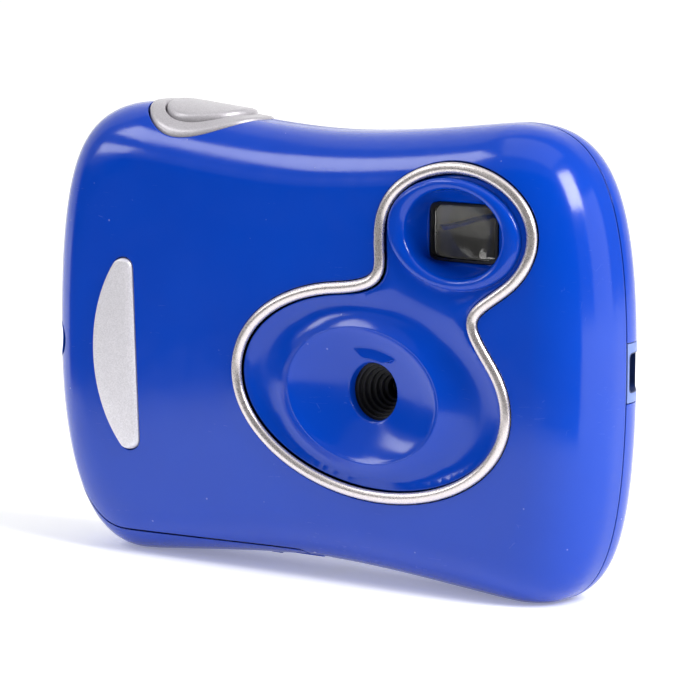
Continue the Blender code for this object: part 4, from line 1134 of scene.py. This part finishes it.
def camera():
    yaw, pitch, roll = (math.radians(CAMERA[key]) for key in ("yaw", "pitch", "roll"))
    back = Vector((math.sin(yaw) * math.cos(pitch), -math.cos(yaw) * math.cos(pitch), math.sin(pitch)))
    right = Vector((math.cos(yaw), math.sin(yaw), 0))
    up = back.cross(right)
    turned_right = right * math.cos(roll) + up * math.sin(roll)
    turned_up = up * math.cos(roll) - right * math.sin(roll)
    data = bpy.data.cameras.new("camera")
    data.lens, data.sensor_width = CAMERA["lens"], 36.0
    made = new_object("camera", data)
    place = world(CAMERA["target"]) + back * CAMERA["distance"] * MM
    facing = Matrix((turned_right, turned_up, back)).transposed().to_4x4()
    made.matrix_world = Matrix.Translation(place) @ facing
    bpy.context.scene.camera = made


def away_from_middle(azimuth, elevation):
    """A unit vector from the object. Azimuth counts from the front, to the right."""
    a, e = math.radians(azimuth), math.radians(elevation)
    return Vector((math.sin(a) * math.cos(e), -math.cos(a) * math.cos(e), math.sin(e)))


def soft_box(name, azimuth, elevation, distance, size, radiance):
    """An area light that faces the object, as bright as a surface of that radiance."""
    data = bpy.data.lights.new(name, "AREA")
    data.shape, data.size, data.size_y = "RECTANGLE", size[0], size[1]
    data.energy = radiance * math.pi * size[0] * size[1]
    made = new_object(name, data)
    away = away_from_middle(azimuth, elevation)
    made.location = world((0, 0, 0)) + away * distance
    made.rotation_euler = away.to_track_quat("Z", "Y").to_euler()


def dark_card(name, corners):
    """A black card that only reflections see, as in a light tent's opening."""
    data = bpy.data.meshes.new(name)
    data.from_pydata(corners, [], [tuple(range(len(corners)))])
    card = new_object(name, data)
    nodes = Nodes(f"{name}_felt")
    felt = nodes.mix(nodes.range(nodes.noise(0.01), 0.3, 0.7), (0.004, 0.004, 0.004), (0.008, 0.008, 0.008))
    nodes.feed(felt, "Base Color")
    nodes.set(Roughness=1.0)
    data.materials.append(nodes.material)
    for ray in ("camera", "diffuse", "shadow", "transmission"):
        setattr(card, f"visible_{ray}", False)


def dark_wall(name, start, end, reach, height):
    """An upright black card between two azimuths."""
    (x0, y0, _), (x1, y1, _) = (away_from_middle(azimuth, 0) * reach for azimuth in (start, end))
    dark_card(name, [(x0, y0, 0), (x1, y1, 0), (x1, y1, height), (x0, y0, height)])


def floor_arc(near, far, start, end, height=0.002):
    """The outline of a sector on the floor between two distances and two azimuths."""
    points = []
    for reach, steps in ((near, range(9)), (far, range(8, -1, -1))):
        for k in steps:
            away = away_from_middle(start + (end - start) * k / 8, 0)
            points.append((away.x * reach, away.y * reach, height))
    return points


def lights():
    soft_box("key_upper", -58, 44, 1.1, (0.36, 0.34), 6.0)
    soft_box("key_lower", -56, 19, 1.1, (0.4, 0.16), 6.0)
    soft_box("right", 84, 38, 1.1, (0.45, 0.5), 18.0)
    soft_box("side", 112, 10, 1.3, (0.9, 0.9), 1.2)
    soft_box("top", 10, 85, 1.3, (1.3, 1.0), 0.9)
    dark_card("floor_flag", floor_arc(0.19, 0.8, -80, -22))
    dark_wall("left_flag", -80, -22, 0.8, 0.16)
    dark_card("front_floor_flag", floor_arc(0.16, 0.8, -22, 70))
    dark_wall("front_flag", -22, 70, 0.8, 0.62)
    sky = bpy.data.worlds.new("studio")
    sky.use_nodes = True
    background = sky.node_tree.nodes["Background"]
    background.inputs["Color"].default_value = (1, 1, 1, 1)
    background.inputs["Strength"].default_value = 0.3
    bpy.context.scene.world = sky
    bpy.context.scene.view_settings.view_transform = "Standard"


def build():
    for make in (
        carried_over, front_cover, rear_cover, battery_door, strap_guide, lens_panel, trim_ring,
        grip_accent, shutter_plate, shutter_cap, lens_baffle, clear_windows, viewfinder_tube,
        back_buttons, case_screws, port,
    ):
        make()
    for skin in (FRONT_SKIN, REAR_SKIN, BODY_SKIN):
        bpy.data.objects.remove(skin, do_unlink=True)
    floor()
    camera()
    lights()


build()
